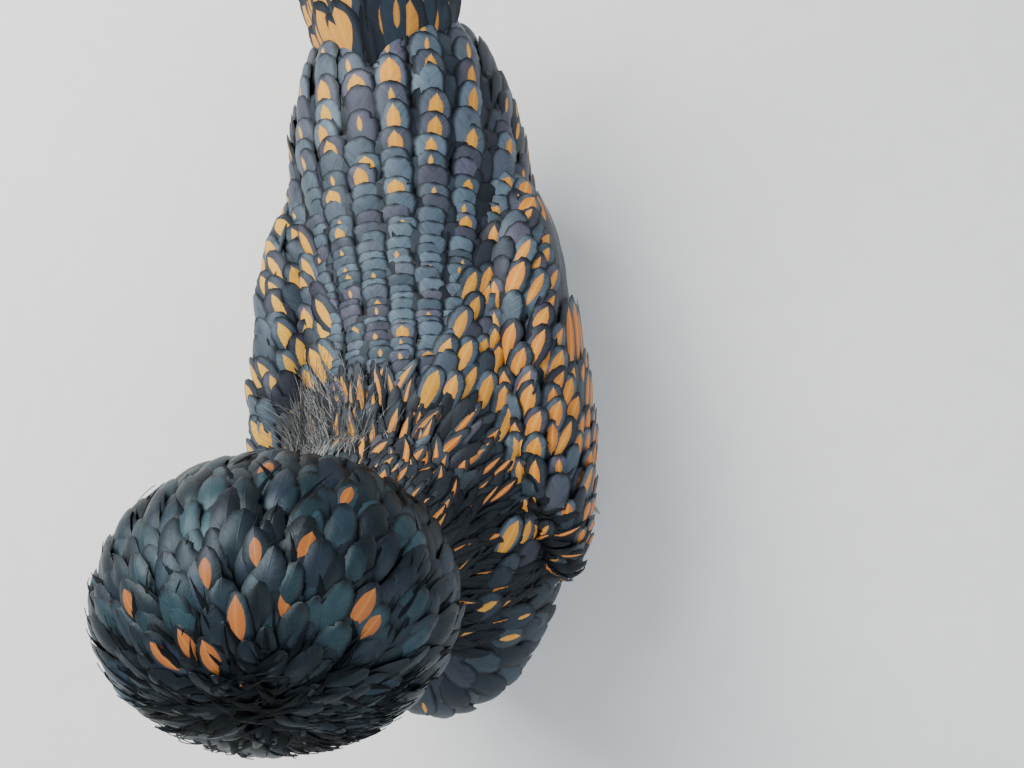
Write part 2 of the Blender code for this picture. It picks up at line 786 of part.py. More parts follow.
def make_wing(draw):
    wing = ellipsoid_form("wing_left", wing_place(), WING_SEMI, 0.0, segments=16, rows=10)
    fuse(wing, wing_vanes(draw))
    return carve_vanes(wing, [torso_form("torso_cutter", GAP)])


def tail_feather(name, side, share, length, half_width, along, level):
    """A tail feather set at a share of the fan from its middle to its edge."""
    yaw = side * (TAIL_YAW[0] + TAIL_YAW[1] * share)
    roll = side * (TAIL_ROOF[0] + TAIL_ROOF[1] * share)
    sag = -TAIL_SAG * share**1.5
    root = Vector((side * (TAIL_ROOT_SPREAD[0] + TAIL_ROOT_SPREAD[1] * share), along, level))
    heading = Vector((math.sin(yaw) * math.cos(sag), math.cos(yaw) * math.cos(sag), math.sin(sag)))
    across = Vector((math.cos(yaw) * math.cos(roll), -math.sin(yaw) * math.cos(roll), -math.sin(roll)))
    out = across.cross(heading).normalized()
    arch = length * TAIL_ARCH
    place = tail_place()
    turned = place.to_3x3()
    spine = [place @ (root + heading * length * s - out * arch * s * s) for s, _, _ in SHORT_VANE]
    track = spine, [turned @ across] * len(spine), [turned @ out] * len(spine)
    return vane(name, SHORT_VANE, track, half_width, TAIL_CUP)


def tail_vanes(draw):
    vanes = []
    for fan, (pairs, length, half_width, along, top) in enumerate(TAIL_FANS):
        for i in range(pairs):
            share = i / (pairs - 1)
            for side in (1, -1):
                level = top - TAIL_STACK * (i + (0.3 if side < 0 else 0.0))
                long = length * (1 - TAIL_SHORTER * share**2) * draw.uniform(0.97, 1.02)
                vanes.append(tail_feather(
                    f"tail_{fan}_{i}_{side}", side, share, long, half_width, along, level
                ))
    return vanes


def make_tail(draw):
    core_place = tail_place() @ Matrix.Translation(TAIL_CORE_CENTRE)
    tail = ellipsoid_form("tail", core_place, TAIL_CORE_SEMI, 0.0, 14, 10)
    fuse(tail, tail_vanes(draw))
    return carve_vanes(tail, [torso_form("torso_cutter", GAP)])


def toe_heading(turn):
    angle = math.radians(turn)
    return Vector((math.sin(angle), -math.cos(angle), 0.0))


def toe_start():
    return Vector((ANKLE.x, ANKLE.y, 0))


def toe_line(turn, length):
    """A toe that runs along the floor, with a swelling at each joint."""
    line = []
    for share, swell in TOE_SWELLINGS:
        radius = TOE_RADIUS * swell
        point = toe_start() + toe_heading(turn) * length * share
        point.z = radius * TOE_FLATTEN
        line.append((tuple(point), radius))
    return line


def shank_form(name, grow=0.0):
    line = (
        (HOCK, SHANK_RADIUS * 1.25),
        (HOCK.lerp(ANKLE, 0.25), SHANK_RADIUS),
        (HOCK.lerp(ANKLE, 0.8), SHANK_RADIUS),
        (ANKLE, SHANK_RADIUS * 1.15),
    )
    return tube_form(name, line, 8, grow, 5, True)


def make_foot():
    toes = [tube_form("toe_" + name, toe_line(turn, length), 6, 0.0, 6, True) for name, turn, length in TOES]
    return carve(fuse(shank_form("foot_left"), toes), [floor_slab()])


def make_claw(name, turn, length):
    """A curved claw that starts just past the end of its toe."""
    heading = toe_heading(turn)
    across = heading.cross(Vector((0, 0, 1)))
    toe_end = TOE_RADIUS * TOE_SWELLINGS[-1][1] * 0.6
    start = toe_start() + heading * (length + toe_end + GAP)
    start.z = TOE_RADIUS * TOE_FLATTEN
    rings = []
    for share, size in CLAW_RINGS:
        centre = start + heading * CLAW_LENGTH * share
        centre.z -= CLAW_DROP * share**1.6
        rings.append([
            centre + size * (across * CLAW_NARROW * math.cos(t) + Vector((0, 0, math.sin(t))))
            for t in circle_turns(8)
        ])
    tip = start + heading * CLAW_LENGTH + Vector((0, 0, -CLAW_DROP))
    return skinned(name, rings, None, tip)


def thigh_form(name, grow=0.0):
    return ellipsoid_form(name, thigh_place(), THIGH_SEMI, grow, segments=16, rows=9)


def make_thigh():
    return carve(thigh_form("thigh_left"), [
        torso_form("torso_cutter", GAP), wing_envelope("wing_cutter"), shank_form("shank_cutter", GAP),
    ])


def main():
    clear_scene()
    draw = random.Random(SEED)
    finishes = {
        "plumage": finish_of("plumage", (0.055, 0.075, 0.095), 0.42),
        "crest": finish_of("crest", (0.020, 0.032, 0.040), 0.45),
        "tail": finish_of("tail", (0.52, 0.29, 0.12), 0.5),
        "skin": finish_of("skin", (0.36, 0.10, 0.08), 0.6),
        "bill": finish_of("bill", (0.42, 0.42, 0.43), 0.35),
        "leg": finish_of("leg", (0.16, 0.20, 0.24), 0.5),
        "claw": finish_of("claw", (0.32, 0.31, 0.30), 0.35),
        "eye": finish_of("eye", (0.22, 0.06, 0.02), 0.08),
    }
    wing_left = make_wing(draw)
    thigh_left = make_thigh()
    foot_left = make_foot()
    claws = []
    for name, turn, length in TOES:
        claw = make_claw(f"claw_{name}_left", turn, length)
        claws += [claw, mirrored(claw, f"claw_{name}_right")]
    nodes = (
        ([make_torso(), make_neck(draw)], "plumage"),
        ([wing_left, mirrored(wing_left, "wing_right")], "plumage"),
        ([thigh_left, mirrored(thigh_left, "thigh_right")], "plumage"),
        ([make_crest(draw), make_beard(draw)], "crest"),
        ([make_tail(draw)], "tail"),
        ([make_head()], "skin"),
        ([make_bill("bill_upper", True), make_bill("bill_lower", False)], "bill"),
        ([foot_left, mirrored(foot_left, "foot_right")], "leg"),
        (claws, "claw"),
        ([eye_form("eye_left", 1), eye_form("eye_right", -1)], "eye"),
    )
    hen = bpy.data.objects.new("hen", None)
    bpy.context.scene.collection.objects.link(hen)
    for objects, finish in nodes:
        for obj in objects:
            obj.data.materials.clear()
            obj.data.materials.append(finishes[finish])
            obj.parent = hen


main()
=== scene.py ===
"""Looks of a gold-laced crested hen that sits at rest, feather by feather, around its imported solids.

Metres, +Z up, the body points to -Y. Every feather is a closed thin vane that grows from one skin, with
its own place on the vane, its mark and its tint kept as attributes that the material paints from.
"""

import math

import bmesh
import bpy
import numpy as np
from mathutils import Matrix, Vector
from mathutils.bvhtree import BVHTree


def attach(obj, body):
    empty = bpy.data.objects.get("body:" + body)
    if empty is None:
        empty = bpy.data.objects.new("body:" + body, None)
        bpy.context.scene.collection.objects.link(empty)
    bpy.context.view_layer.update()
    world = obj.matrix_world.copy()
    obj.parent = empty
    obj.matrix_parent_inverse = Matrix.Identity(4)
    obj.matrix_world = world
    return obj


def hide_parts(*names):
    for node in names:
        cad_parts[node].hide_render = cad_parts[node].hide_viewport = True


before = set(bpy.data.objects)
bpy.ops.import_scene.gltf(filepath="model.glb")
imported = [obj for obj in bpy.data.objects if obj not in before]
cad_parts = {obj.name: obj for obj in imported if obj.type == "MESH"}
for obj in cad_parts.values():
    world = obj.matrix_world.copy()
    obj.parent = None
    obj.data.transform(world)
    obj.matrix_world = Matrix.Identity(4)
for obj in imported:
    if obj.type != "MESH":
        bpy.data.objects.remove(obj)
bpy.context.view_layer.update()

SEED = 11

# The photograph's camera: place, pitch below the horizon, turn about the vertical, lean about the body's
# length, focal length in pixels
CAMERA_PLACE = Vector((0.083, -0.094, 0.439))
CAMERA_PITCH = math.radians(77.3)
CAMERA_TURN = math.radians(-4.25)
CAMERA_LEAN = math.radians(7.8)
FOCAL_PIXELS = 790.0
PHOTO_SIZE = (1024, 768)
SENSOR_WIDTH = 36.0
NEAREST_SEEN = 0.01

# Forms of the flesh, as the solids have them
TORSO_COAT = 0.0052
THIGH_COAT = 0.0045
THIGH_CENTRE = Vector((0.0470, 0.0020, 0.0370))
THIGH_SEMI = Vector((0.0230, 0.0600, 0.0330))
THIGH_PITCH = math.radians(-10.0)
NECK_LINE = (
    ((-0.004, -0.062, 0.092), 0.047),
    ((-0.012, -0.077, 0.119), 0.041),
    ((-0.022, -0.091, 0.138), 0.032),
    ((-0.027, -0.099, 0.149), 0.023),
)
NECK_COAT = 0.0015
HEAD_CENTRE = Vector((-0.029, -0.106, 0.155))
HEAD_TURN = math.radians(-8.0)
SKULL_SEMI = Vector((0.0165, 0.0220, 0.0185))
FACE_CENTRE = Vector((0.0, -0.0165, -0.0030))
FACE_SEMI = Vector((0.0115, 0.0120, 0.0115))
HEAD_COAT = 0.0008
EYE_CENTRE = Vector((0.0118, -0.0075, 0.0020))
EYE_RADIUS = 0.0052
CREST_CENTRE = Vector((0.0, 0.0070, 0.0300))
CREST_SEMI = Vector((0.0605, 0.0480, 0.0500))
CREST_POLE = Vector((0.20, -0.66, 0.72))
KNOB_CENTRE = Vector((0.0, 0.0060, 0.0260))
KNOB_SEMI = Vector((0.0260, 0.0205, 0.0214))
BEARD_CENTRE = Vector((0.0, -0.0090, -0.0215))
BEARD_SEMI = Vector((0.0300, 0.0270, 0.0225))
BEARD_POLE = Vector((0.0, -0.85, 0.53))
WING_CENTRE = Vector((0.0530, -0.0100, 0.0895))
WING_SEMI = Vector((0.0205, 0.0930, 0.0415))
WING_PITCH = math.radians(5.0)
WING_YAW = math.radians(3.5)
TAIL_ROOT = Vector((0.0, 0.104, 0.129))
TAIL_RISE = math.radians(38.0)
SKIN_VOXEL = 0.0020
SKIN_SMOOTHING = 14

# How far past a form's surface a point still counts as on it, and where parts of the skin begin or end
FORM_MARGIN = 0.001
WING_MARGIN = 0.0012
WING_FACE_SHARE = 0.25
FOREHEAD_BACK = 0.004
NECK_REACH = 1.06
NECK_BASE = 0.10
FLOOR_BARE = 0.003
BEND_RADIUS = 0.014
BEND_FADE = 0.020
BEND_LEAST = 0.55

# How a feather is drawn: root share of the width, share of the length at its widest, how pointed its end is
OUTLINES = {
    "round": (0.40, 0.60, 0.50),
    "oval": (0.30, 0.55, 0.66),
    "lance": (0.35, 0.42, 0.95),
    "wisp": (0.70, 0.30, 1.20),
    "broad": (0.30, 0.66, 0.42),
    "petal": (0.36, 0.60, 0.46),
}
TIP_SHARE = 0.05
VANE_THICKNESS = 0.00018
BARB_SLANT = 0.55
SPLIT_CHANCE = 0.02
SPLIT_DEPTH = 0.72
FLOOR_GAP = 0.0002
RISE_POWER = 1.6
WALK_STEPS = 14
# How much a feather turns with the skin before it counts as crumpled, and how squarely it faces the camera
# before it counts as seen
CREASE = -0.40
FACING = 0.15

# Side of one feather's patch on the bake map, and the pitch of the grid that keeps patches apart
PATCH = 0.0030
PATCH_PITCH = 0.0034

rng = np.random.default_rng(SEED)


def smooth(value):
    """A soft step from 0 to 1."""
    held = np.clip(value, 0.0, 1.0)
    return held * held * (3 - 2 * held)


def fade(value, start, width):
    """From 0 to 1 as a value goes from a start over a width, downwards where the width is negative."""
    return smooth((value - start) / width)


def unit(vectors):
    return vectors / np.maximum(np.linalg.norm(vectors, axis=-1, keepdims=True), 1e-9)


def jitter(amount):
    return float(rng.uniform(-amount, amount))


def between(low, high):
    return float(rng.uniform(low, high))


def chance(share):
    return rng.random() < share


def side_of(point):
    """The bird's left is 1 and its right is -1."""
    return 1 if point[0] > 0 else -1


# Places of the head, wings, tail and camera

def head_place(offset=(0, 0, 0)):
    turn = Matrix.Rotation(HEAD_TURN, 4, "Z")
    return Matrix.Translation(HEAD_CENTRE) @ turn @ Matrix.Translation(Vector(offset))


def wing_place(side):
    turn = Matrix.Rotation(WING_YAW * side, 4, "Z") @ Matrix.Rotation(WING_PITCH, 4, "X")
    return Matrix.Translation((WING_CENTRE.x * side, WING_CENTRE.y, WING_CENTRE.z)) @ turn


def tail_place():
    return Matrix.Translation(TAIL_ROOT) @ Matrix.Rotation(TAIL_RISE, 4, "X")


def sided(vector, side):
    return Vector((vector[0] * side, vector[1], vector[2]))


def camera_axes():
    """The camera's right, up and forward directions."""
    turn, pitch = CAMERA_TURN, CAMERA_PITCH
    look = Vector((-math.sin(turn) * math.cos(pitch), math.cos(turn) * math.cos(pitch), -math.sin(pitch)))
    right = Vector((math.cos(turn), math.sin(turn), 0.0))
    lean = Matrix.Rotation(CAMERA_LEAN, 3, "Y")
    return lean @ right, lean @ right.cross(look), lean @ look


def project(point):
    """Where a point falls in the photograph's frame, in pixels."""
    right, up, look = camera_axes()
    ray = Vector(point) - CAMERA_PLACE
    depth = ray.dot(look)
    return (
        PHOTO_SIZE[0] / 2 + FOCAL_PIXELS * ray.dot(right) / depth,
        PHOTO_SIZE[1] / 2 - FOCAL_PIXELS * ray.dot(up) / depth,
    )


# Meshes

def shown(name, data):
    """An object of the scene for a mesh, a light or a camera."""
    obj = bpy.data.objects.new(name, data)
    bpy.context.scene.collection.objects.link(obj)
    return obj


def mesh_object(name, points, faces, material=None):
    mesh = bpy.data.meshes.new(name)
    mesh.from_pydata([tuple(p) for p in points], [], faces)
    mesh.validate()
    turned = bmesh.new()
    turned.from_mesh(mesh)
    bmesh.ops.recalc_face_normals(turned, faces=turned.faces)
    turned.to_mesh(mesh)
    turned.free()
    if material:
        mesh.materials.append(material)
    mesh.shade_smooth()
    return shown(name, mesh)


def keep_values(obj, name, values):
    """Keeps one number for each point of a mesh, for its material to read."""
    kept = obj.data.attributes.new(name, "FLOAT", "POINT")
    kept.data.foreach_set("value", np.array(values, np.float32))


def gathered(forms):
    """Points and faces of several closed forms, as one mesh."""
    points, faces = [], []
    for form_points, form_faces in forms:
        start = len(points)
        points += list(form_points)
        faces += [tuple(start + i for i in face) for face in form_faces]
    return points, faces


def through_rings(rings, first=None, last=None):
    """Points and faces of a closed tube through rings of equal count, with a point or a flat at each end."""
    sides = len(rings[0])
    points = [p for ring in rings for p in ring]
    faces = [
        (r * sides + s, r * sides + (s + 1) % sides, (r + 1) * sides + (s + 1) % sides, (r + 1) * sides + s)
        for r in range(len(rings) - 1)
        for s in range(sides)
    ]
    for ring, pole in ((0, first), (len(rings) - 1, last)):
        loop = [ring * sides + s for s in range(sides)]
        if pole is None:
            faces.append(tuple(loop))
            continue
        points.append(pole)
        faces += [(loop[s], loop[(s + 1) % sides], len(points) - 1) for s in range(sides)]
    return points, faces


def circle(count):
    return [2 * math.pi * i / count for i in range(count)]


def curve_rows(rows, count):
    """Rows read from a smooth curve through the given ones."""
    table = np.array(rows, float)
    padded = np.vstack([2 * table[0] - table[1], table, 2 * table[-1] - table[-2]])
    found = []
    for step in np.linspace(0, len(table) - 1, count):
        i = min(int(step), len(table) - 2)
        t = step - i
        a, b, c, d = padded[i : i + 4]
        row = 2 * b + (c - a) * t + (2 * a - 5 * b + 4 * c - d) * t**2 + (3 * b - a - 3 * c + d) * t**3
        found.append(row / 2)
    return np.array(found)


def tube(line, sides, samples, swell=None):
    """Points and faces of a tube along a line of (point, radius), with round ends."""
    rows = curve_rows([(*p, r) for p, r in line], samples)
    centres, radii = rows[:, :3], rows[:, 3]
    along = unit(np.gradient(centres, axis=0))
    rings = []
    for i, centre in enumerate(centres):
        pole = np.array((0.0, 0.0, 1.0)) if abs(along[i][2]) < 0.9 else np.array((0.0, 1.0, 0.0))
        across = unit(np.cross(along[i], pole))
        other = np.cross(across, along[i])
        ring = []
        for t in circle(sides):
            radius = radii[i] * (swell(i / (samples - 1), t) if swell else 1.0)
            ring.append(centre + radius * (across * math.cos(t) + other * math.sin(t)))
        rings.append(ring)
    first = centres[0] - along[0] * radii[0] * 0.6
    last = centres[-1] + along[-1] * radii[-1] * 0.6
    return through_rings(rings, first, last)


def ellipsoid(place, semi, segments=48, rows=32):
    rings = []
    for r in range(1, rows):
        polar = math.pi * r / rows
        rings.append([
            place @ Vector((
                semi[0] * math.sin(polar) * math.cos(t),
                semi[1] * math.sin(polar) * math.sin(t),
                semi[2] * math.cos(polar),
            ))
            for t in circle(segments)
        ])
    return through_rings(rings, place @ Vector((0, 0, semi[2])), place @ Vector((0, 0, -semi[2])))


def apply_modifiers(obj):
    graph = bpy.context.evaluated_depsgraph_get()
    mesh = bpy.data.meshes.new_from_object(obj.evaluated_get(graph))
    obj.modifiers.clear()
    obj.data = mesh


# Colours and finishes

class Paint:
    """A material built up step by step, with short names for its steps."""

    def __init__(self, name):
        self.material = bpy.data.materials.new(name)
        self.material.use_nodes = True
        self.tree = self.material.node_tree
        self.shader = self.tree.nodes["Principled BSDF"]

    def put(self, socket, value):
        if isinstance(value, bpy.types.NodeSocket):
            self.tree.links.new(value, socket)
        elif isinstance(value, tuple) and len(value) == 3 and socket.type == "RGBA":
            socket.default_value = (*value, 1.0)
        else:
            socket.default_value = value

    def node(self, kind, *values, **settings):
        made = self.tree.nodes.new("ShaderNode" + kind)
        for key, value in settings.items():
            setattr(made, key, value)
        for socket, value in zip(made.inputs, values):
            if value is not None:
                self.put(socket, value)
        return made

    def math(self, operation, a, b=0.0, c=0.0, clamp=False):
        return self.node("Math", a, b, c, operation=operation, use_clamp=clamp).outputs[0]

    def plus(self, a, b):
        return self.math("ADD", a, b)

    def minus(self, a, b, clamp=False):
        return self.math("SUBTRACT", a, b, clamp=clamp)

    def scaled(self, value, by, start):
        return self.math("MULTIPLY_ADD", value, by, start)

    def size(self, value):
        return self.math("ABSOLUTE", value)

    def times(self, *values):
        product = values[0]
        for value in values[1:]:
            product = self.math("MULTIPLY", product, value)
        return product

    def step(self, value, low, high):
        made = self.node("MapRange", value, low, high, 0.0, 1.0, interpolation_type="SMOOTHSTEP")
        return made.outputs[0]

    def mix(self, share, a, b):
        made = self.tree.nodes.new("ShaderNodeMix")
        made.data_type = "RGBA"
        self.put(made.inputs[0], share)
        self.put(made.inputs[6], a)
        self.put(made.inputs[7], b)
        return made.outputs[2]

    def mix_value(self, share, a, b):
        return self.node("Mix", share, None, a, b).outputs[0]

    def attribute(self, name):
        return self.node("Attribute", attribute_name=name)

    def parts(self, vector):
        return self.node("SeparateXYZ", vector).outputs

    def join(self, x, y, z=0.0):
        return self.node("CombineXYZ", x, y, z).outputs[0]

    def noise(self, vector, scale, detail=2.0, roughness=0.5):
        made = self.node("TexNoise", vector)
        made.inputs["Scale"].default_value = scale
        made.inputs["Detail"].default_value = detail
        made.inputs["Roughness"].default_value = roughness
        return made.outputs["Fac"]

    def bump(self, height, strength, distance):
        made = self.node("Bump")
        made.inputs["Strength"].default_value = strength
        made.inputs["Distance"].default_value = distance
        self.put(made.inputs["Height"], height)
        return made.outputs[0]

    def set(self, **values):
        for key, value in values.items():
            self.put(self.shader.inputs[key.replace("_", " ")], value)
        return self.material


def feather_paint(name, black, slate, plum, pale, orange, rough, ragged=0.16, shafts=0.38, shine=0.26):
    """Barbs, shaft, lacing, flame marks and a painted sheen, painted from each feather's own attributes."""
    paint = Paint(name)
    place = paint.parts(paint.attribute("place").outputs["Vector"])
    span = paint.parts(paint.attribute("span").outputs["Vector"])
    mark_node = paint.attribute("mark")
    tint_node = paint.attribute("tint")
    mark = paint.parts(mark_node.outputs["Color"])
    tint = paint.parts(tint_node.outputs["Color"])
    rounded, gloss = mark_node.outputs["Alpha"], tint_node.outputs["Alpha"]
    side = paint.size(place[0])
    lateral = paint.size(span[0])
    barb = paint.minus(span[1], paint.times(lateral, 0.85))
    seed = paint.times(place[2], 53.0)

    def streaks(along, across, detail=2.0):
        where = paint.join(paint.times(barb, along), paint.times(span[0], across), seed)
        return paint.noise(where, 1.0, detail)

    streak = streaks(2300.0, 170.0)
    fine = streaks(4600.0, 260.0, 1.0)
    cloud = paint.noise(paint.join(paint.times(span[0], 190.0), paint.times(span[1], 120.0), seed), 1.0)

    # The flame: wide near the root, drawn to a spike at the tip, its edge broken along the barbs
    t = paint.math("DIVIDE", paint.minus(place[1], mark[1]), mark[2])
    ahead = paint.math("GREATER_THAN", t, 0.0)
    behind = paint.scaled(rounded, -1.4, 3.2)
    power = paint.mix_value(ahead, behind, paint.scaled(rounded, 2.8, 1.5))
    reach = paint.math("POWER", paint.math("MINIMUM", paint.size(t), 1.0), power)
    spike = paint.times(paint.minus(1.30, t, clamp=True), paint.step(t, -1.0, -0.8), 0.07)
    width = paint.plus(paint.times(mark[0], paint.minus(1.0, reach)), spike)
    teeth = paint.times(paint.minus(streak, 0.5), ragged)
    flame = paint.step(paint.plus(paint.minus(width, side), teeth), 0.0, 0.07)
    where = paint.join(paint.times(span[0], 520.0), paint.times(barb, 900.0), seed)
    pepper = paint.step(paint.noise(where, 1.0, 3.0, 0.7), 0.62, 0.50)
    speck = paint.scaled(paint.minus(pepper, 1.0), tint[2], 1.0)
    flame = paint.times(flame, speck, paint.math("GREATER_THAN", mark[0], 0.02))

    # The dark web: black rims, and a lighter slate or plum centre with soft streaks that is a painted sheen
    rim = paint.times(paint.step(side, 0.95, 0.64), paint.step(place[1], 0.99, 0.88))
    sheen_and_silver = paint.times(rim, paint.scaled(paint.step(streak, 0.30, 0.70), 0.40, 0.62), tint[1])
    hue = paint.mix(paint.step(place[2], 0.35, 0.95), slate, plum)
    dark = paint.mix(paint.math("MULTIPLY", sheen_and_silver, 1.0, clamp=True), black, hue)
    dark = paint.mix(paint.times(paint.step(cloud, 0.55, 0.75), 0.35), dark, black)
    gold = paint.mix(tint[0], pale, orange)
    gold = paint.mix(paint.times(paint.step(streak, 0.40, 0.72), 0.40), gold, (0.20, 0.060, 0.014))
    gold = paint.mix(paint.times(paint.step(side, 0.30, 0.0), 0.35), gold, pale)
    shaft = paint.step(lateral, 0.00030, 0.00010)
    shown = paint.times(shaft, flame, shafts)
    colour = paint.mix(shown, paint.mix(flame, dark, gold), (0.50, 0.36, 0.20))

    height = paint.plus(paint.times(fine, 0.7), paint.times(shaft, 0.35))
    satin = paint.times(gloss, paint.minus(1.0, flame))
    grain = paint.times(streak, 0.22)
    return paint.set(
        Base_Color=colour,
        Roughness=paint.plus(grain, paint.scaled(flame, 0.12, rough)),
        Metallic=paint.times(satin, 0.20),
        Normal=paint.bump(height, 0.65, 0.00014),
        Specular_IOR_Level=shine,
        Specular_Tint=(0.70, 0.88, 1.0, 1.0),
    )


def skin_paint():
    """Skin under the coat painted near black, as painted shade where it shows between feathers, with the
    coat's own flecks, and red where the face is bare.
    """
    paint = Paint("skin")
    place = paint.node("TexCoord").outputs["Object"]
    cells = paint.node("TexVoronoi", place)
    cells.inputs["Scale"].default_value = 120.0
    fleck = paint.step(cells.outputs["Distance"], 0.30, 0.22)
    grain = paint.noise(place, 900.0, 3.0)
    bare = paint.attribute("bare").outputs["Fac"]
    # Near black: painted shade in the gaps and creases of the coat
    coat = paint.mix(paint.times(fleck, 0.20), (0.006, 0.007, 0.010), (0.16, 0.07, 0.025))
    flesh = paint.mix(grain, (0.26, 0.035, 0.025), (0.40, 0.085, 0.060))
    return paint.set(
        Base_Color=paint.mix(bare, coat, flesh),
        Roughness=0.62,
        Specular_IOR_Level=0.15,
        Normal=paint.bump(grain, 0.35, 0.0003),
    )


def horn_paint(name, base, tip_colour, rough):
    """Horn with fine lines, paler or warmer towards the tip, with painted shade in the nostril pits."""
    paint = Paint(name)
    place = paint.node("TexCoord").outputs["Object"]
    grown = paint.attribute("grown").outputs["Fac"]
    lines = paint.noise(place, 520.0, 3.0)
    cloud = paint.noise(place, 130.0, 2.0)
    colour = paint.mix(grown, base, tip_colour)
    colour = paint.mix(paint.times(cloud, 0.35), colour, tuple(c * 0.45 for c in base))
    # Painted shade, near black, in the nostril pits
    colour = paint.mix(paint.attribute("pit").outputs["Fac"], colour, (0.006, 0.006, 0.007))
    return paint.set(
        Base_Color=colour,
        Roughness=paint.scaled(lines, 0.22, rough),
        Normal=paint.bump(lines, 0.18, 0.0002),
    )


def scale_paint():
    """Slate-blue horny scales with dark seams."""
    paint = Paint("leg_scales")
    place = paint.node("TexCoord").outputs["Object"]
    ridge = paint.attribute("ridge").outputs["Fac"]
    cloud = paint.noise(place, 260.0, 3.0)
    colour = paint.mix(cloud, (0.050, 0.062, 0.080), (0.120, 0.140, 0.165))
    colour = paint.mix(paint.times(ridge, 0.75), colour, (0.020, 0.023, 0.030))
    fine = paint.noise(place, 1500.0, 2.0)
    return paint.set(
        Base_Color=colour,
        Roughness=paint.scaled(fine, 0.25, 0.38),
        Normal=paint.bump(fine, 0.25, 0.0002),
    )


def eye_paint():
    """A black pupil in a red-brown iris, read from the eye's own axis."""
    paint = Paint("eye")
    place = paint.parts(paint.node("TexCoord").outputs["Object"])
    away = paint.plus(paint.math("POWER", place[0], 2.0), paint.math("POWER", place[1], 2.0))
    share = paint.math("DIVIDE", paint.math("SQRT", away), EYE_RADIUS)
    angle = paint.math("ARCTAN2", place[1], place[0])
    fibres = paint.noise(paint.join(paint.times(angle, 9.0), paint.times(share, 2.0)), 2.5, 3.0)
    iris = paint.mix(fibres, (0.16, 0.035, 0.010), (0.52, 0.150, 0.030))
    iris = paint.mix(paint.step(share, 0.60, 0.80), iris, (0.03, 0.012, 0.008))
    colour = paint.mix(paint.step(share, 0.36, 0.40), (0.002, 0.002, 0.002), iris)
    return paint.set(Base_Color=colour, Roughness=0.06, Coat_Weight=1.0, Coat_Roughness=0.02)


# Skin

def node_form(node, inward):
    """A solid's points and faces, moved in by the depth of its coat."""
    copy = bmesh.new()
    copy.from_mesh(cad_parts[node].data)
    bmesh.ops.remove_doubles(copy, verts=copy.verts, dist=0.00002)
    bmesh.ops.recalc_face_normals(copy, faces=copy.faces)
    copy.normal_update()
    points = [v.co - v.normal * inward for v in copy.verts]
    faces = [tuple(v.index for v in f.verts) for f in copy.faces]
    copy.free()
    return points, faces


def make_skin():
    """One closed skin over trunk, neck, head, thighs and folded wings, with no seam."""
    inset = Vector((HEAD_COAT,) * 3)
    forms = [
        node_form("torso", TORSO_COAT),
        node_form("thigh_left", THIGH_COAT),
        node_form("thigh_right", THIGH_COAT),
        tube([(p, r - NECK_COAT) for p, r in NECK_LINE], 48, 20),
        ellipsoid(head_place(), SKULL_SEMI - inset),
        ellipsoid(head_place(FACE_CENTRE), FACE_SEMI - inset),
        ellipsoid(head_place(KNOB_CENTRE), KNOB_SEMI),
        ellipsoid(wing_place(1), WING_SEMI),
        ellipsoid(wing_place(-1), WING_SEMI),
    ]
    skin = mesh_object("skin", *gathered(forms))
    remesh = skin.modifiers.new("Remesh", "REMESH")
    remesh.mode = "VOXEL"
    remesh.voxel_size = SKIN_VOXEL
    soften = skin.modifiers.new("Smooth", "SMOOTH")
    soften.factor = 0.5
    soften.iterations = SKIN_SMOOTHING
    apply_modifiers(skin)
    skin.data.shade_smooth()
    return skin


SKIN = make_skin()
SURFACE = BVHTree.FromObject(SKIN, bpy.context.evaluated_depsgraph_get())
NECK_ROWS = curve_rows([(*p, r) for p, r in NECK_LINE], 61)


def inside_form(place, semi, point, grow):
    """Whether a point lies in an ellipsoid that is grown by a margin."""
    local = place.inverted() @ Vector(point)
    return sum((local[i] / (semi[i] + grow)) ** 2 for i in range(3)) < 1


def neck_share(point):
    """How far a point is along the neck from 0 to 1, and how many radii it lies from the neck's line."""
    away = np.linalg.norm(NECK_ROWS[:, :3] - np.array(point), axis=1) / NECK_ROWS[:, 3]
    i = int(np.argmin(away))
    return i / (len(NECK_ROWS) - 1), float(away[i])


def neck_ring(share):
    """Centre, radius and directions of the neck at a share of its length: along it, and two across."""
    i = int(share * (len(NECK_ROWS) - 1))
    centre, radius = Vector(NECK_ROWS[i][:3]), NECK_ROWS[i][3]
    along = Vector(NECK_ROWS[min(i + 1, len(NECK_ROWS) - 1)][:3] - NECK_ROWS[i - 1][:3]).normalized()
    return centre, radius, along, *frame_round(along)[:2]


def in_head(point):
    skull = inside_form(head_place(), SKULL_SEMI, point, FORM_MARGIN)
    return skull or inside_form(head_place(FACE_CENTRE), FACE_SEMI, point, FORM_MARGIN)


def on_forehead(point):
    knob = head_place(KNOB_CENTRE)
    local = knob.inverted() @ Vector(point)
    return local.y < FOREHEAD_BACK and inside_form(knob, KNOB_SEMI, point, FORM_MARGIN)


def in_neck(point):
    share, away = neck_share(point)
    return away < NECK_REACH and share > NECK_BASE


def scattered(spacing, wanted):
    """Points spread evenly but without rows over the parts of the skin that are wanted."""
    mesh = SKIN.data
    points = np.empty(len(mesh.vertices) * 3)
    mesh.vertices.foreach_get("co", points)
    points = points.reshape(-1, 3)
    grid, kept = {}, []
    for index in rng.permutation(len(points)):
        point = points[index]
        cell = tuple(np.floor(point / spacing).astype(int))
        near = (
            other
            for i in (-1, 0, 1) for j in (-1, 0, 1) for k in (-1, 0, 1)
            for other in grid.get((cell[0] + i, cell[1] + j, cell[2] + k), ())
        )
        if any(((point - other) ** 2).sum() < spacing * spacing for other in near):
            continue
        grid.setdefault(cell, []).append(point)
        if wanted(point):
            kept.append(point)
    return kept


# Feathers

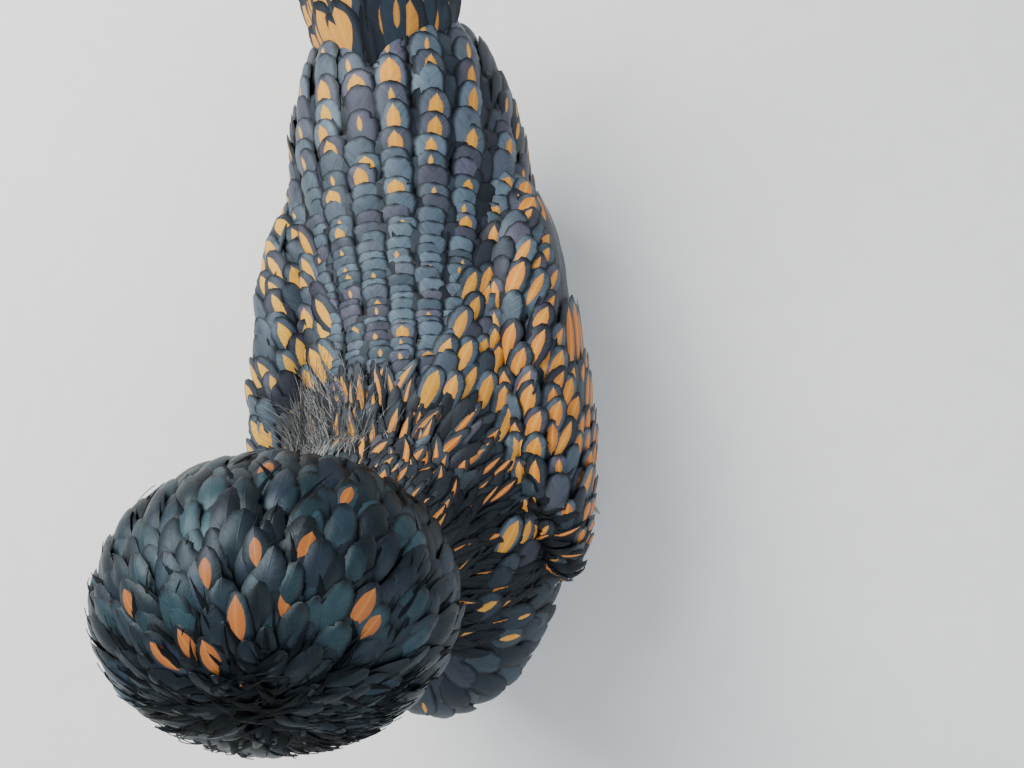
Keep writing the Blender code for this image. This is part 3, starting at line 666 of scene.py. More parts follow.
class Feather:
    """One vane: its spine and directions, its outline, and what the material paints on it."""

    def __init__(self, spine, out, shares, half_widths, length, cup, columns, fray):
        along = unit(np.gradient(spine, axis=0))
        self.across = unit(np.cross(along, out))
        self.out = np.cross(self.across, along)
        self.spine, self.along = spine, along
        self.shares, self.half_widths, self.length = shares, half_widths, length
        self.cup, self.columns, self.fray = cup, columns, fray
        self.root = spine[0]
        self.mark = NO_MARK
        # Tint: hue of the gold, share of the painted sheen on the dark web, pepper in the marks, gloss
        self.tint = (0.5, 0.4, 0.0, 0.5)
        self.patch = (0.5, 0.5)

    def roll(self, angle):
        """Tips the vane about its spine."""
        across = self.across * math.cos(angle) + self.out * math.sin(angle)
        self.out = self.out * math.cos(angle) - self.across * math.sin(angle)
        self.across = across

    def at(self, share):
        """The point of the spine at a share of the length."""
        return np.array([np.interp(share, self.shares, self.spine[:, i]) for i in range(3)])

    def faces_camera(self, share):
        i = int(np.searchsorted(self.shares, share))
        return Vector(self.out[i]).dot((CAMERA_PLACE - Vector(self.at(share))).normalized())


# A mark: half width and middle as shares of the vane, half length, and how round its end is
NO_MARK = (0.0, 0.5, 0.3, 0.0)


def flame(size, shown, rounded=0.0):
    """A mark on the part of a vane that shows past its neighbours, from a small tick to most of the web."""
    tip = 0.90 + 0.03 * size
    base = 1 - shown * (0.55 + 0.40 * min(size * 1.6, 1.0))
    return (0.08 + 0.44 * size, base, tip - base, rounded)


def outline(kind, stations):
    """Shares of the length, and of the half width there."""
    root, widest, point = OUTLINES[kind]
    even = np.linspace(0, 1, stations)
    shares = 1 - (1 - even) ** 1.4
    rise = root + (1 - root) * smooth(shares / widest)
    over = np.clip((shares - widest) / (1 - widest), 0, 1)
    fall = np.maximum(1 - over**2, 0) ** point
    return shares, np.maximum(rise * fall, TIP_SHARE)


def walked(start, heading, length, lift, half_width, kind, stations, columns, sink, cup, fray,
           settle=0.0, sway=0.0):
    """A feather that lies along the skin, from its sunk root up to the lift of its tip."""
    point, normal, _, _ = SURFACE.find_nearest(Vector(start))
    heading = Vector(heading)
    heading = (heading - normal * heading.dot(normal)).normalized()
    path, normals = [point], [normal]
    for _ in range(WALK_STEPS):
        bend = Matrix.Rotation(sway / WALK_STEPS, 3, normal)
        found, normal, _, _ = SURFACE.find_nearest(point + (bend @ heading) * (length / WALK_STEPS))
        moved = found - point
        if moved.length > 1e-6:
            heading = moved.normalized()
        heading = (heading - normal * heading.dot(normal)).normalized()
        point = found
        path.append(point)
        normals.append(normal)
    shares, widths = outline(kind, stations)
    path, normals = np.array(path), np.array(normals)
    soft = np.vstack([normals[:1], (normals[:-2] + 2 * normals[1:-1] + normals[2:]) / 4, normals[-1:]])
    at = shares * WALK_STEPS
    steps = np.arange(WALK_STEPS + 1)
    spine = np.stack([np.interp(at, steps, path[:, i]) for i in range(3)], axis=1)
    out = unit(np.stack([np.interp(at, steps, soft[:, i]) for i in range(3)], axis=1))
    height = -sink + (sink + lift * (1 - settle * shares**3)) * (1 - (1 - shares) ** RISE_POWER)
    spine = spine + out * height[:, None]
    return Feather(spine, out, shares, widths * half_width, length, cup, columns, fray)


def frame_round(pole):
    """Two directions across a pole, and the pole."""
    pole = pole.normalized()
    side = pole.cross(Vector((0, 0, 1)) if abs(pole.z) < 0.95 else Vector((0, 1, 0))).normalized()
    return side, pole.cross(side), pole


def globe_ray(pole, angle, turn):
    """A direction at an angle from a pole and a turn round it."""
    side, other, top = frame_round(pole)
    return top * math.cos(angle) + (side * math.cos(turn) + other * math.sin(turn)) * math.sin(angle)


def globe_feather(place, semi, pole, start, turn, sweep, half_width, sink, kind, stations, columns,
                  level, drift, fray, curl=3.0, cup=0.0012):
    """A feather that rises from inside an ellipsoid and bends over to lie in its outer surface."""
    shares, widths = outline(kind, stations)
    levels = level * (sink + (1 - sink) * (1 - (1 - shares) ** curl))
    rays = np.array([globe_ray(pole, start + sweep * s, turn + drift * s) for s in shares])
    spine = rays * levels[:, None] * np.array(semi)
    turned = np.array(place.to_3x3())
    out = unit(rays / np.array(semi)) @ turned.T
    spine = spine @ turned.T + np.array(place.translation)
    length = float(np.linalg.norm(np.diff(spine, axis=0), axis=1).sum())
    return Feather(spine, out, shares, widths * half_width, length, cup, columns, fray)


def vane_faces(rows, columns):
    """Faces of one vane: a curved top, a flat underside that shares its edges, and the two ends."""
    wide = columns + 1
    under = wide
    stride = wide + 1
    faces = []
    for r in range(rows - 1):
        a, b = r * stride, (r + 1) * stride
        faces += [(a + c, a + c + 1, b + c + 1, b + c) for c in range(columns)]
        faces += [(a, b, b + under, a + under), (a + under, b + under, b + wide - 1, a + wide - 1)]
    last = (rows - 1) * stride
    faces.append((under, *range(wide - 1, -1, -1)))
    faces.append((*range(last, last + wide), last + under))
    return faces


def vane_arrays(feathers, rows, columns):
    """Points and attributes of many vanes with the same grid."""
    count, wide = len(feathers), columns + 1
    spine, across, out, along, widths, shares = (
        np.stack([getattr(f, field) for f in feathers])
        for field in ("spine", "across", "out", "along", "half_widths", "shares")
    )
    length, cup, fray = (
        np.array([getattr(f, field) for f in feathers]) for field in ("length", "cup", "fray")
    )
    u = np.linspace(-1, 1, wide)
    lateral = widths[:, :, None] * u
    torn = 1 - fray[:, None, None] * rng.random((count, rows, 2)) ** 2
    torn[rng.random(torn.shape) < SPLIT_CHANCE] *= SPLIT_DEPTH
    torn[:, :1] = 1
    lateral[:, :, [0, -1]] *= torn
    crown = widths / widths.max(axis=1, keepdims=True)
    slant = BARB_SLANT * 4 * (shares * (1 - shares))[:, :, None] * np.abs(lateral)
    split = (rng.random((count, rows, 2)) - 0.5) * (fray * length * 0.16)[:, None, None]
    slant[:, :, [0, -1]] += split * (shares < 0.99)[:, :, None]
    height = VANE_THICKNESS * (1 - u**2) - cup[:, None, None] * (crown**2)[:, :, None] * u**2
    top = (
        spine[:, :, None] + across[:, :, None] * lateral[..., None] + out[:, :, None] * height[..., None]
        + along[:, :, None] * slant[..., None]
    )
    below = spine - out * VANE_THICKNESS * 0.5
    points = np.concatenate([top, below[:, :, None]], axis=2).reshape(-1, 3)
    points[:, 2] = np.maximum(points[:, 2], FLOOR_GAP)
    full = np.zeros((count, rows, wide + 1))
    place = np.stack([
        full + np.append(u, 0.0), full + shares[:, :, None], full + rng.random(count)[:, None, None],
    ], axis=-1).reshape(-1, 3)
    sideways = np.concatenate([lateral, np.zeros((count, rows, 1))], axis=2)
    span = np.stack([sideways, full + (shares * length[:, None])[:, :, None], full], axis=-1).reshape(-1, 3)
    mark, tint, patch = (
        np.repeat(np.array([getattr(f, field) for f in feathers]), rows * (wide + 1), axis=0)
        for field in ("mark", "tint", "patch")
    )
    uv = patch + PATCH * np.stack([(place[:, 0] + 1) / 2, place[:, 1]], axis=1)
    return points, place, span, mark, tint, uv


def spread_patches(feathers, unwrap):
    """Sets each feather's patch on the bake map at its root's place, one patch to a cell."""
    cells = int(1 / PATCH_PITCH) - 1
    taken = set()
    for feather in feathers:
        u, v = unwrap(feather.root)
        cell = (int(np.clip(u, 0, 1) * cells), int(np.clip(v, 0, 1) * cells))
        ring, free = 0, []
        while not free:
            near = [
                (cell[0] + i, cell[1] + j)
                for i in range(-ring, ring + 1)
                for j in range(-ring, ring + 1)
                if max(abs(i), abs(j)) == ring
            ]
            free = [c for c in near if c not in taken and 0 <= c[0] < cells and 0 <= c[1] < cells]
            ring += 1
        taken.add(free[0])
        feather.patch = (free[0][0] * PATCH_PITCH, free[0][1] * PATCH_PITCH)


def trunk_unwrap(root):
    """The trunk unrolled about its long axis."""
    return 0.5 + math.atan2(root[0], root[2] - 0.075) / (2 * math.pi), (root[1] + 0.165) / 0.36


def globe_unwrap(place, pole):
    """A globe unrolled round its pole."""
    side, other, top = frame_round(pole)
    back = place.inverted()

    def unwrap(root):
        ray = (back @ Vector(root)).normalized()
        angle = math.acos(max(-1.0, min(1.0, ray.dot(top)))) / math.pi
        turn = math.atan2(ray.dot(other), ray.dot(side))
        return 0.5 + 0.48 * angle * math.cos(turn), 0.5 + 0.48 * angle * math.sin(turn)

    return unwrap


def settled(obj, slot, nodes=()):
    """Rides a piece on the one body and hides the solids that it stands for; the slot is not used."""
    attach(obj, "root")
    if nodes:
        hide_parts(*nodes)
    return obj


def coat_piece(name, feathers, material, slot, unwrap, nodes):
    """One mesh of many feathers, with its attributes and its bake map."""
    spread_patches(feathers, unwrap)
    groups = {}
    for feather in feathers:
        groups.setdefault((len(feather.shares), feather.columns), []).append(feather)
    arrays, loops, totals, start = [], [], [], 0
    for (rows, columns), members in groups.items():
        arrays.append(vane_arrays(members, rows, columns))
        faces = vane_faces(rows, columns)
        flat = np.array([i for face in faces for i in face])
        per = rows * (columns + 2)
        offsets = start + np.arange(len(members)) * per
        loops.append((offsets[:, None] + flat).ravel())
        totals.append(np.tile([len(face) for face in faces], len(members)))
        start += len(members) * per
    points, place, span, mark, tint, uv = (np.concatenate(part) for part in zip(*arrays))
    loops, totals = np.concatenate(loops), np.concatenate(totals)
    mesh = bpy.data.meshes.new(name)
    mesh.vertices.add(len(points))
    mesh.vertices.foreach_set("co", points.astype(np.float32).ravel())
    mesh.loops.add(len(loops))
    mesh.loops.foreach_set("vertex_index", loops.astype(np.int32))
    mesh.polygons.add(len(totals))
    mesh.polygons.foreach_set("loop_start", (np.cumsum(totals) - totals).astype(np.int32))
    mesh.update(calc_edges=True)
    for key, kind, field, values in (
        ("place", "FLOAT_VECTOR", "vector", place),
        ("span", "FLOAT_VECTOR", "vector", span),
        ("mark", "FLOAT_COLOR", "color", mark),
        ("tint", "FLOAT_COLOR", "color", tint),
    ):
        attribute = mesh.attributes.new(key, kind, "POINT")
        attribute.data.foreach_set(field, values.astype(np.float32).ravel())
    layer = mesh.uv_layers.new(name="OFBake")
    layer.data.foreach_set("uv", uv[loops].astype(np.float32).ravel())
    mesh.materials.append(material)
    mesh.set_sharp_from_angle(angle=math.radians(60))
    return settled(shown(name, mesh), slot, nodes)


def mark_by_photo(feathers, spots, at, make_mark, hue=None):
    """Marks the feather whose web lies nearest to each spot of the photograph, seen from the camera."""
    seen = [(f, project(f.at(at))) for f in feathers if f.faces_camera(at) > FACING]
    for x, y, size in spots:
        near = sorted(seen, key=lambda row: (row[1][0] - x) ** 2 + (row[1][1] - y) ** 2)[:2]
        feather = min(near, key=lambda row: (CAMERA_PLACE - Vector(row[0].at(at))).length)[0]
        feather.mark = make_mark(size)
        if hue is not None:
            feather.tint = (hue + jitter(0.08), *feather.tint[1:])


# Crest

GOLDEN_TURN = math.pi * (3 - math.sqrt(5))
# How much of the way from the pole to its tip a feather may lie along, at most
LARGEST_SWEEP = 0.97
CREST_COUNT = 620
CREST_BARE = math.radians(13.0)
CREST_EDGE = math.radians(152.0)
CREST_HALF_WIDTH = 0.0047
# Loose wisps: how many, how many of the first hang over the bill, and after which one they form the whorl
CREST_WISPS = 720
FRONT_WISPS = 216
WHORL_WISPS = 432
CREST_INNER = 260
INNER_SWEEP = math.radians(36)
INNER_HALF_WIDTH = 0.0085
# The crest's orange marks: where each falls in the photograph's frame, in pixels, and its size
CREST_MARKS = (
    (129, 614, 0.45), (177, 643, 0.85), (207, 672, 0.95), (243, 637, 1.00), (277, 611, 0.50),
    (245, 696, 0.50), (157, 663, 0.50), (306, 549, 0.70), (378, 596, 0.80), (265, 471, 0.55),
    (340, 503, 0.45), (192, 570, 0.40), (246, 561, 0.35), (453, 614, 0.55), (362, 640, 0.30),
)


def spiral(k, count, cap):
    """The angle from the pole and the turn of the k-th of many tips spread evenly over a cap."""
    return math.acos(1 - cap * (k + 0.8) / count), k * GOLDEN_TURN


def crest_holds(ray):
    """Leaves out crest feathers that would hang below the ears or before the face."""
    return ray.z > -0.84 and not (ray.y < -0.35 and ray.z < -0.20)


def crest_mark(size):
    """A rounded orange patch near a crest feather's tip."""
    return 0.26 + 0.34 * size, 0.76, 0.09 + 0.13 * size, 0.6


def crest_feathers():
    """A full globe of feathers that part from a whorl above the bill."""
    place = head_place(CREST_CENTRE)
    cap = 1 - math.cos(CREST_EDGE)
    feathers = []
    for k in range(CREST_COUNT):
        tip, turn = spiral(k, CREST_COUNT, cap)
        turn += jitter(0.06)
        if tip < CREST_BARE or not crest_holds(globe_ray(CREST_POLE, tip, turn)):
            continue
        far = smooth(tip / 0.9)
        sweep = min(math.radians(16 + 22 * far) * (1 + jitter(0.10)), tip * LARGEST_SWEEP)
        width = CREST_HALF_WIDTH * (0.36 + 0.64 * far) * (1 + jitter(0.15))
        sink = 0.955 - 0.42 * far
        feather = globe_feather(
            place, CREST_SEMI, CREST_POLE, tip - sweep, turn, sweep, width, sink, "petal", 15, 6,
            level=0.976 + jitter(0.020), curl=2.8, drift=jitter(0.12), cup=0.0012, fray=0.09,
        )
        feather.roll(jitter(0.20))
        # Less of the painted sheen towards the whorl, as painted shade on the crest's lower front
        low = fade(tip, 0.95, -0.55)
        feather.tint = (0.65, between(0.10, 1.0) ** 1.5 * (1 - 0.9 * low), 0.0, between(0.1, 0.9))
        if chance(0.04) and feather.faces_camera(0.75) < 0.1:
            feather.mark = (0.35, 0.74, between(0.12, 0.22), 0.7)
        feathers.append(feather)
    mark_by_photo(feathers, CREST_MARKS, 0.76, crest_mark, 0.60)
    for k in range(CREST_INNER):
        tip, turn = spiral(k, CREST_INNER, cap)
        if crest_holds(globe_ray(CREST_POLE, tip, turn)):
            sweep = min(INNER_SWEEP, tip * LARGEST_SWEEP)
            feathers.append(globe_feather(
                place, CREST_SEMI, CREST_POLE, tip - sweep, turn, sweep, INNER_HALF_WIDTH, 0.55, "oval",
                8, 4, level=0.84 + jitter(0.03), drift=jitter(0.15), fray=0.15,
            ))
    return feathers


def crest_wisps():
    """Thin dark feathers that hang forward over the bill and stand loose round the crest's rim."""
    place = head_place(CREST_CENTRE)
    for k in range(CREST_WISPS):
        front = k < FRONT_WISPS
        whorl = k > WHORL_WISPS
        pole = CREST_POLE + Vector((jitter(0.40), jitter(0.22), jitter(0.22))) if whorl else CREST_POLE
        turn = math.pi / 2 + float(rng.normal(0, 0.8)) if front else between(0, 2 * math.pi)
        start = math.radians(between(2, 22) if front else between(-8, 12) if whorl else between(12, 120))
        sweep = math.radians(between(20, 34) if whorl else between(24, 42))
        if not crest_holds(globe_ray(pole, start + sweep, turn)):
            continue
        width = between(0.0008, 0.0024 if whorl else 0.0019)
        feather = globe_feather(
            place, CREST_SEMI, pole, start, turn, sweep, width, 0.80, "wisp", 9, 2,
            level=0.988 + jitter(0.016), curl=2.0, drift=jitter(0.35), cup=0.0002, fray=0.3,
        )
        feather.tint = (0.6, between(0.0, 0.12), 0.0, 0.2)
        yield feather


# Beard and face

BEARD_COUNT = 330
BEARD_CAP = 1.85
BEARD_HALF_WIDTH = 0.0029
FACE_SPACING = 0.0023
BILL_EDGE = -0.0250
LID_REACH = EYE_RADIUS + 0.0014


def beard_feathers():
    """A full beard with muffs beside the bill, of short soft feathers."""
    place = head_place(BEARD_CENTRE)
    for k in range(BEARD_COUNT):
        tip, turn = spiral(k, BEARD_COUNT, BEARD_CAP)
        turn += jitter(0.06)
        ray = globe_ray(BEARD_POLE, tip, turn)
        if ray.z > 0.40 or (ray.y > 0.6 and ray.z > -0.3):
            continue
        far = smooth(tip / 0.9)
        sweep = min(math.radians(16 + 20 * far) * (1 + jitter(0.12)), tip * LARGEST_SWEEP)
        width = BEARD_HALF_WIDTH * (1 + jitter(0.2))
        feather = globe_feather(
            place, BEARD_SEMI, BEARD_POLE, tip - sweep, turn, sweep, width, 0.60, "oval", 8, 4,
            level=0.95 + jitter(0.05), drift=jitter(0.2), cup=0.0005, fray=0.25,
        )
        feather.roll(jitter(0.25))
        feather.tint = (0.55, between(0.05, 0.4), 0.0, 0.35)
        if chance(0.10):
            feather.mark = flame(between(0.1, 0.5), 0.45)
        yield feather


def face_feathers():
    """Tiny feathers on the cheeks, brow and chin, smallest next to the bill and round the eyes."""
    back = head_place().inverted()
    turned = head_place().to_3x3()
    for root in scattered(FACE_SPACING, lambda point: in_head(point) or on_forehead(point)):
        local = back @ Vector(root)
        to_eye = min((local - sided(EYE_CENTRE, side)).length for side in (1, -1))
        if to_eye < LID_REACH or local.y < BILL_EDGE:
            continue
        away = (local - Vector((0, -0.026, -0.004))).normalized()
        heading = turned @ Vector((away.x * 0.4, 1.0, away.z * 0.5 - 0.25))
        length = 0.0042 + 0.0040 * fade(local.y, -0.025, 0.03)
        feather = walked(root, heading, length, 0.0010, length * 0.24, "oval", 6, 2, 0.0006, 0.0002, 0.2)
        feather.tint = (0.55, 0.25, 0.0, 0.3)
        yield feather


# Back and saddle

SADDLE_ROPES = 10
SADDLE_SHOWN = 0.35
SADDLE_START = -0.052
SADDLE_END = 0.162
ABOVE_ALL = 0.4
# The back's roped part: distance along the body, its edge on the bird's right and left, pitch of its ropes
SADDLE_TABLE = np.array((
    (-0.050, 0.023, 0.006, 0.0092),
    (-0.005, 0.024, 0.024, 0.0100),
    (0.026, 0.034, 0.042, 0.0112),
    (0.050, 0.052, 0.060, 0.0126),
    (0.080, 0.062, 0.064, 0.0140),
    (0.115, 0.062, 0.064, 0.0146),
    (0.140, 0.056, 0.058, 0.0136),
    (0.165, 0.046, 0.046, 0.0120),
))
# The back's larger flames: where each falls in the photograph's frame, in pixels, and its size
BACK_MARKS = (
    (381, 65, 1.0), (306, 80, 0.8), (336, 78, 0.8), (320, 97, 0.5), (399, 87, 0.6), (448, 88, 0.6),
    (417, 99, 0.6), (434, 114, 0.6), (393, 119, 0.6), (408, 132, 0.4), (373, 148, 0.8), (353, 162, 0.7),
    (333, 133, 0.7), (310, 132, 0.5), (390, 177, 0.9), (334, 191, 0.8), (344, 220, 0.5), (474, 116, 0.5),
    (511, 139, 0.4), (473, 177, 0.4), (496, 160, 0.5), (487, 203, 0.9), (467, 211, 0.7), (478, 87, 0.5),
    (472, 61, 0.4), (428, 51, 0.5), (319, 345, 0.7), (352, 330, 0.5), (395, 322, 0.7), (430, 350, 0.8),
    (405, 372, 0.6), (330, 375, 0.6), (366, 300, 0.3), (343, 270, 0.2),
)


def warm(point):
    """The marks run from pale straw on the bird's right to orange on its left."""
    return float(np.clip(0.30 + 8.0 * (point[0] + 0.004) + jitter(0.12), 0.02, 0.95))


def saddle_at(along, column):
    return float(np.interp(along, SADDLE_TABLE[:, 0], SADDLE_TABLE[:, column]))


def past_saddle(point):
    """How far a point lies outside the edge of the back's roped part."""
    return abs(point[0]) - saddle_at(point[1], 2 if point[0] > 0 else 1)


def on_saddle(point):
    return point[2] > 0.125 and point[1] > -0.050 and past_saddle(point) < 0


def saddle_feathers():
    """Feathers of the back in ropes that spread towards the tail and grow larger there."""
    feathers = []
    for rope in range(SADDLE_ROPES):
        offset = rope - (SADDLE_ROPES - 1) / 2
        along = SADDLE_START + between(0, 1) * 0.009
        while along < SADDLE_END:
            pitch = saddle_at(along, 3)
            step = pitch * (0.36 + 0.30 * fade(along, 0.02, 0.08)) * (1 + jitter(0.14))
            x, y, along = offset * pitch + jitter(0.0008), along, along + step
            hit = SURFACE.ray_cast(Vector((x, y, ABOVE_ALL)), Vector((0, 0, -1)))[0]
            if hit is None or hit.z < 0.100 or past_saddle(hit) > 0.005 or in_neck(hit):
                continue
            if abs(x) < 0.012 and y > 0.135:
                continue
            fan = offset * (saddle_at(y + 0.02, 3) - pitch) / 0.02
            outer = 0.5 * offset / SADDLE_ROPES * fade(y, 0.05, 0.08)
            feather = walked(
                hit, (fan + outer + jitter(0.07), 1.0, 0.0), 0.4 * pitch + 3.0 * step,
                0.27 * pitch + jitter(0.0005), 0.60 * pitch * (1 + jitter(0.06)),
                "round", 14, 6, 0.0025, 0.15 * pitch, 0.12,
            )
            feather.roll(jitter(0.10))
            feather.tint = (warm(hit), between(0.45, 1.0), 0.0, between(0.1, 0.6))
            if chance(0.26):
                feather.mark = flame(between(0.0, 0.12), SADDLE_SHOWN)
            hidden = feather.faces_camera(0.85) < FACING
            if hidden and chance(0.6 * fade(y, 0.05, 0.06)):
                feather.mark = flame(between(0.35, 0.9), SADDLE_SHOWN)
            if y > 0.128 and chance(0.9 if x < 0 else 0.5):
                feather.mark = (between(0.50, 0.66), 0.80, 0.14, 1.0)
            feathers.append(feather)
    mark_by_photo(feathers, BACK_MARKS, 0.86, lambda size: flame(size, SADDLE_SHOWN, 0.1 + 0.4 * size))
    return feathers


# Trunk

def trunk_heading(point):
    """The lie of the coat: down over the breast, then back along the sides to the vent."""
    front = fade(point[1], -0.090, -0.045)
    side = np.sign(point[0]) * smooth(abs(point[0]) / 0.03)
    back = np.array((0.05 * side, 1.0, -0.16))
    down = np.array((0.20 * side, 0.25, -1.0))
    return back * (1 - front) + down * front


def on_thigh(point):
    centre = Matrix.Translation(sided(THIGH_CENTRE, side_of(point)))
    held = inside_form(centre @ Matrix.Rotation(THIGH_PITCH, 4, "X"), THIGH_SEMI, point, FORM_MARGIN)
    return point[2] > FLOOR_BARE and held and not on_wing_face(point)


def on_wing_face(point):
    """The outer face of a folded wing, which carries its own tiers."""
    side = side_of(point)
    if not inside_form(wing_place(side), WING_SEMI, point, WING_MARGIN):
        return False
    return (wing_place(side).inverted() @ Vector(point)).x * side > WING_FACE_SHARE * WING_SEMI.x


def folded(feather):
    """Whether a feather lies in a crease of the skin, where it would be crumpled."""
    turned = feather.out[-1] - feather.out[0]
    return float((feather.spine[-1] - feather.spine[0]) @ turned) < CREASE * feather.length


def bend_share(point):
    """Feathers on the sharp bend of the wing are shorter and lie closer, down to this share."""
    bend = wing_place(side_of(point)) @ Vector((0, -0.90 * WING_SEMI.y, 0))
    far = fade((Vector(point) - bend).length, BEND_RADIUS, BEND_FADE)
    return BEND_LEAST + (1 - BEND_LEAST) * far


# How far apart the roots are, and how long and half as wide the feathers are, on each part of the trunk
SHOULDER_SPACING = 0.0066
SHOULDER_LENGTH = 0.029
SHOULDER_HALF_WIDTH = 0.0062
UNDER_SPACING = 0.0098
UNDER_LENGTH = 0.021
UNDER_HALF_WIDTH = 0.0078
BODY_SPACING = 0.0070
THIGH_SPACING = 0.0075
BODY_LENGTH = 0.027
BODY_HALF_WIDTH = 0.0058


def shoulder_feathers():
    """Broad spangled feathers between the back's ropes and the wings, that lie back and outwards."""
    def wanted(point):
        edge = past_saddle(point) > -0.004 or point[1] < -0.045
        high = point[2] > 0.108 and -0.10 < point[1] < 0.085
        return edge and high and not (on_wing_face(point) or in_head(point) or in_neck(point))

    for root in scattered(SHOULDER_SPACING, wanted):
        side = np.sign(root[0])
        outward = side * (0.48 - 0.20 * fade(root[1], 0.02, 0.06))
        grow = 0.92 + 0.14 * fade(root[1], -0.05, 0.10)
        feather = walked(
            root, (outward + jitter(0.10), 1.0, jitter(0.05)), SHOULDER_LENGTH * grow,
            0.0048 + jitter(0.0007), SHOULDER_HALF_WIDTH * grow, "round", 12, 6, 0.0022, 0.0012, 0.16,
        )
        feather.roll(jitter(0.18))
        feather.tint = (warm(root), between(0.15, 0.75), 0.0, between(0.1, 0.5))
        if chance(0.78):
            near_neck = 1 - fade(root[1], -0.030, 0.040)
            feather.mark = flame(between(0.25 + 0.25 * near_neck, 1.0), 0.40 + 0.05 * near_neck, 0.75)
        yield feather


def under_feathers():
    """Plain dark feathers that lie flat under the others, so that no skin shows between them."""
    def wanted(point):
        return point[2] > 0.004 and not in_head(point) and not on_forehead(point)

    for root in scattered(UNDER_SPACING, wanted):
        heading = trunk_heading(root) + rng.normal(0, 0.15, 3)
        if in_neck(root) or neck_share(root)[0] > 0.7:
            heading = np.array((0.05, 0.25, -1.0)) + rng.normal(0, 0.15, 3)
        low = fade(root[2], 0.004, 0.015)
        close = bend_share(root)
        lift = 0.0002 if on_wing_face(root) else 0.0006 + 0.0012 * low
        feather = walked(
            root, heading, UNDER_LENGTH * close, lift, UNDER_HALF_WIDTH * close, "round", 7, 4, 0.0016,
            0.0004 + 0.0030 * (1 - close), 0.10,
        )
        feather.tint = (0.5, between(0.05, 0.30), 0.0, 0.2)
        yield feather


def body_feathers():
    """Feathers of the breast, flanks, belly, thighs and vent."""
    def wanted(point):
        roped = on_saddle(point) and past_saddle(point) < -0.005
        high = point[2] > 0.112 and -0.10 < point[1] < 0.080
        if point[2] <= FLOOR_BARE or roped or high:
            return False
        return not (in_head(point) or on_wing_face(point) or in_neck(point))

    for root in scattered(BODY_SPACING, wanted) + scattered(THIGH_SPACING, on_thigh):
        low = 1 - fade(root[2], 0.015, 0.05)
        vent = fade(root[1], 0.09, 0.05) * (1 - fade(root[2], 0.10, 0.03))
        grow = (1.0 - 0.12 * low) * bend_share(root) * (0.70 if on_thigh(root) else 1.0)
        heading = trunk_heading(root) + rng.normal(0, 0.06, 3)
        near_floor = fade(root[2], FLOOR_BARE, 0.012)
        lift = (0.0042 + jitter(0.0007)) * (0.35 + 0.65 * near_floor) * min(grow, 1.0)
        feather = walked(
            root, heading, BODY_LENGTH * grow * (1 + jitter(0.08)), lift, BODY_HALF_WIDTH * grow,
            "oval" if vent > 0.3 else "round", 9, 4, 0.0022, 0.0011, 0.12 + 0.25 * vent,
        )
        if folded(feather):
            continue
        feather.roll(jitter(0.16))
        dull = max(low, vent)
        feather.tint = (warm(root), between(0.08, 0.32) * (1 - 0.5 * dull), 0.0, 0.45 * (1 - dull))
        breast = fade(root[1], -0.09, -0.03)
        if chance(0.55 - 0.36 * breast - 0.25 * dull):
            feather.mark = flame(between(0.1, 0.6) * (1 - 0.4 * breast), 0.36, 0.5)
        yield feather


# The hackle's rows and its silvery barbs
HACKLE_ROWS = 15
HACKLE_PITCH = 0.0040
HACKLE_LENGTH = 0.026
HACKLE_STRANDS = 800
STRAND_LENGTHS = (0.016, 0.032)
STRAND_LIFTS = (0.0036, 0.0060)
STRAND_HALF_WIDTHS = (0.00011, 0.00021)


def hackle_right(point):
    """How far a root lies on the neck's right, where the hackle spreads outwards, from 0 to 1."""
    return fade(point.x, -0.014, -0.03)


def hackle_feathers():
    """Narrow feathers that run down the neck and lie on the shoulders, frayed and pale at their edges."""
    for row in range(HACKLE_ROWS):
        share = 0.08 + 0.82 * row / (HACKLE_ROWS - 1)
        centre, radius, along, side, other = neck_ring(share)
        count = int(2 * math.pi * radius / HACKLE_PITCH)
        for k in range(count):
            turn = 2 * math.pi * (k + 0.5 * (row % 2) + jitter(0.35)) / count
            ray = side * math.cos(turn) + other * math.sin(turn)
            start = centre + ray * radius
            if in_head(start):
                continue
            back = fade(ray.y, -0.2, 0.6)
            if back > 0.5 and share < 0.22:
                continue
            right = hackle_right(start)
            spread = Vector((jitter(0.16) - 0.3 * right, 0.35 * back + 0.7 * right, 0))
            feather = walked(
                start, spread - along * (1 - 0.4 * right), HACKLE_LENGTH * (1 + jitter(0.20)),
                0.0030 + 0.0016 * share + jitter(0.0009), (0.0021 + 0.0010 * back) * (1 + jitter(0.25)),
                "oval", 12, 4, 0.0018, 0.0004, 0.35, settle=0.3, sway=jitter(0.5),
            )
            feather.roll(jitter(0.25))
            pale = fade(start.x, -0.022, -0.02)
            # How much of the slate centre shows: the hackle's silver, and painted sheen
            silver_and_sheen_share = between(0.05, 0.45) * back + (0.45 if chance((0.10 + 0.60 * pale) * back) else 0.0)
            feather.tint = (min(0.35 + 14 * (start.x + 0.03), 1.0), silver_and_sheen_share, 0.0, between(0.0, 0.4))
            if chance(0.12 + 0.42 * back * fade(start.x, -0.045, 0.03)):
                feather.mark = (between(0.22, 0.50), 0.60, between(0.22, 0.34), 0.2)
            yield feather


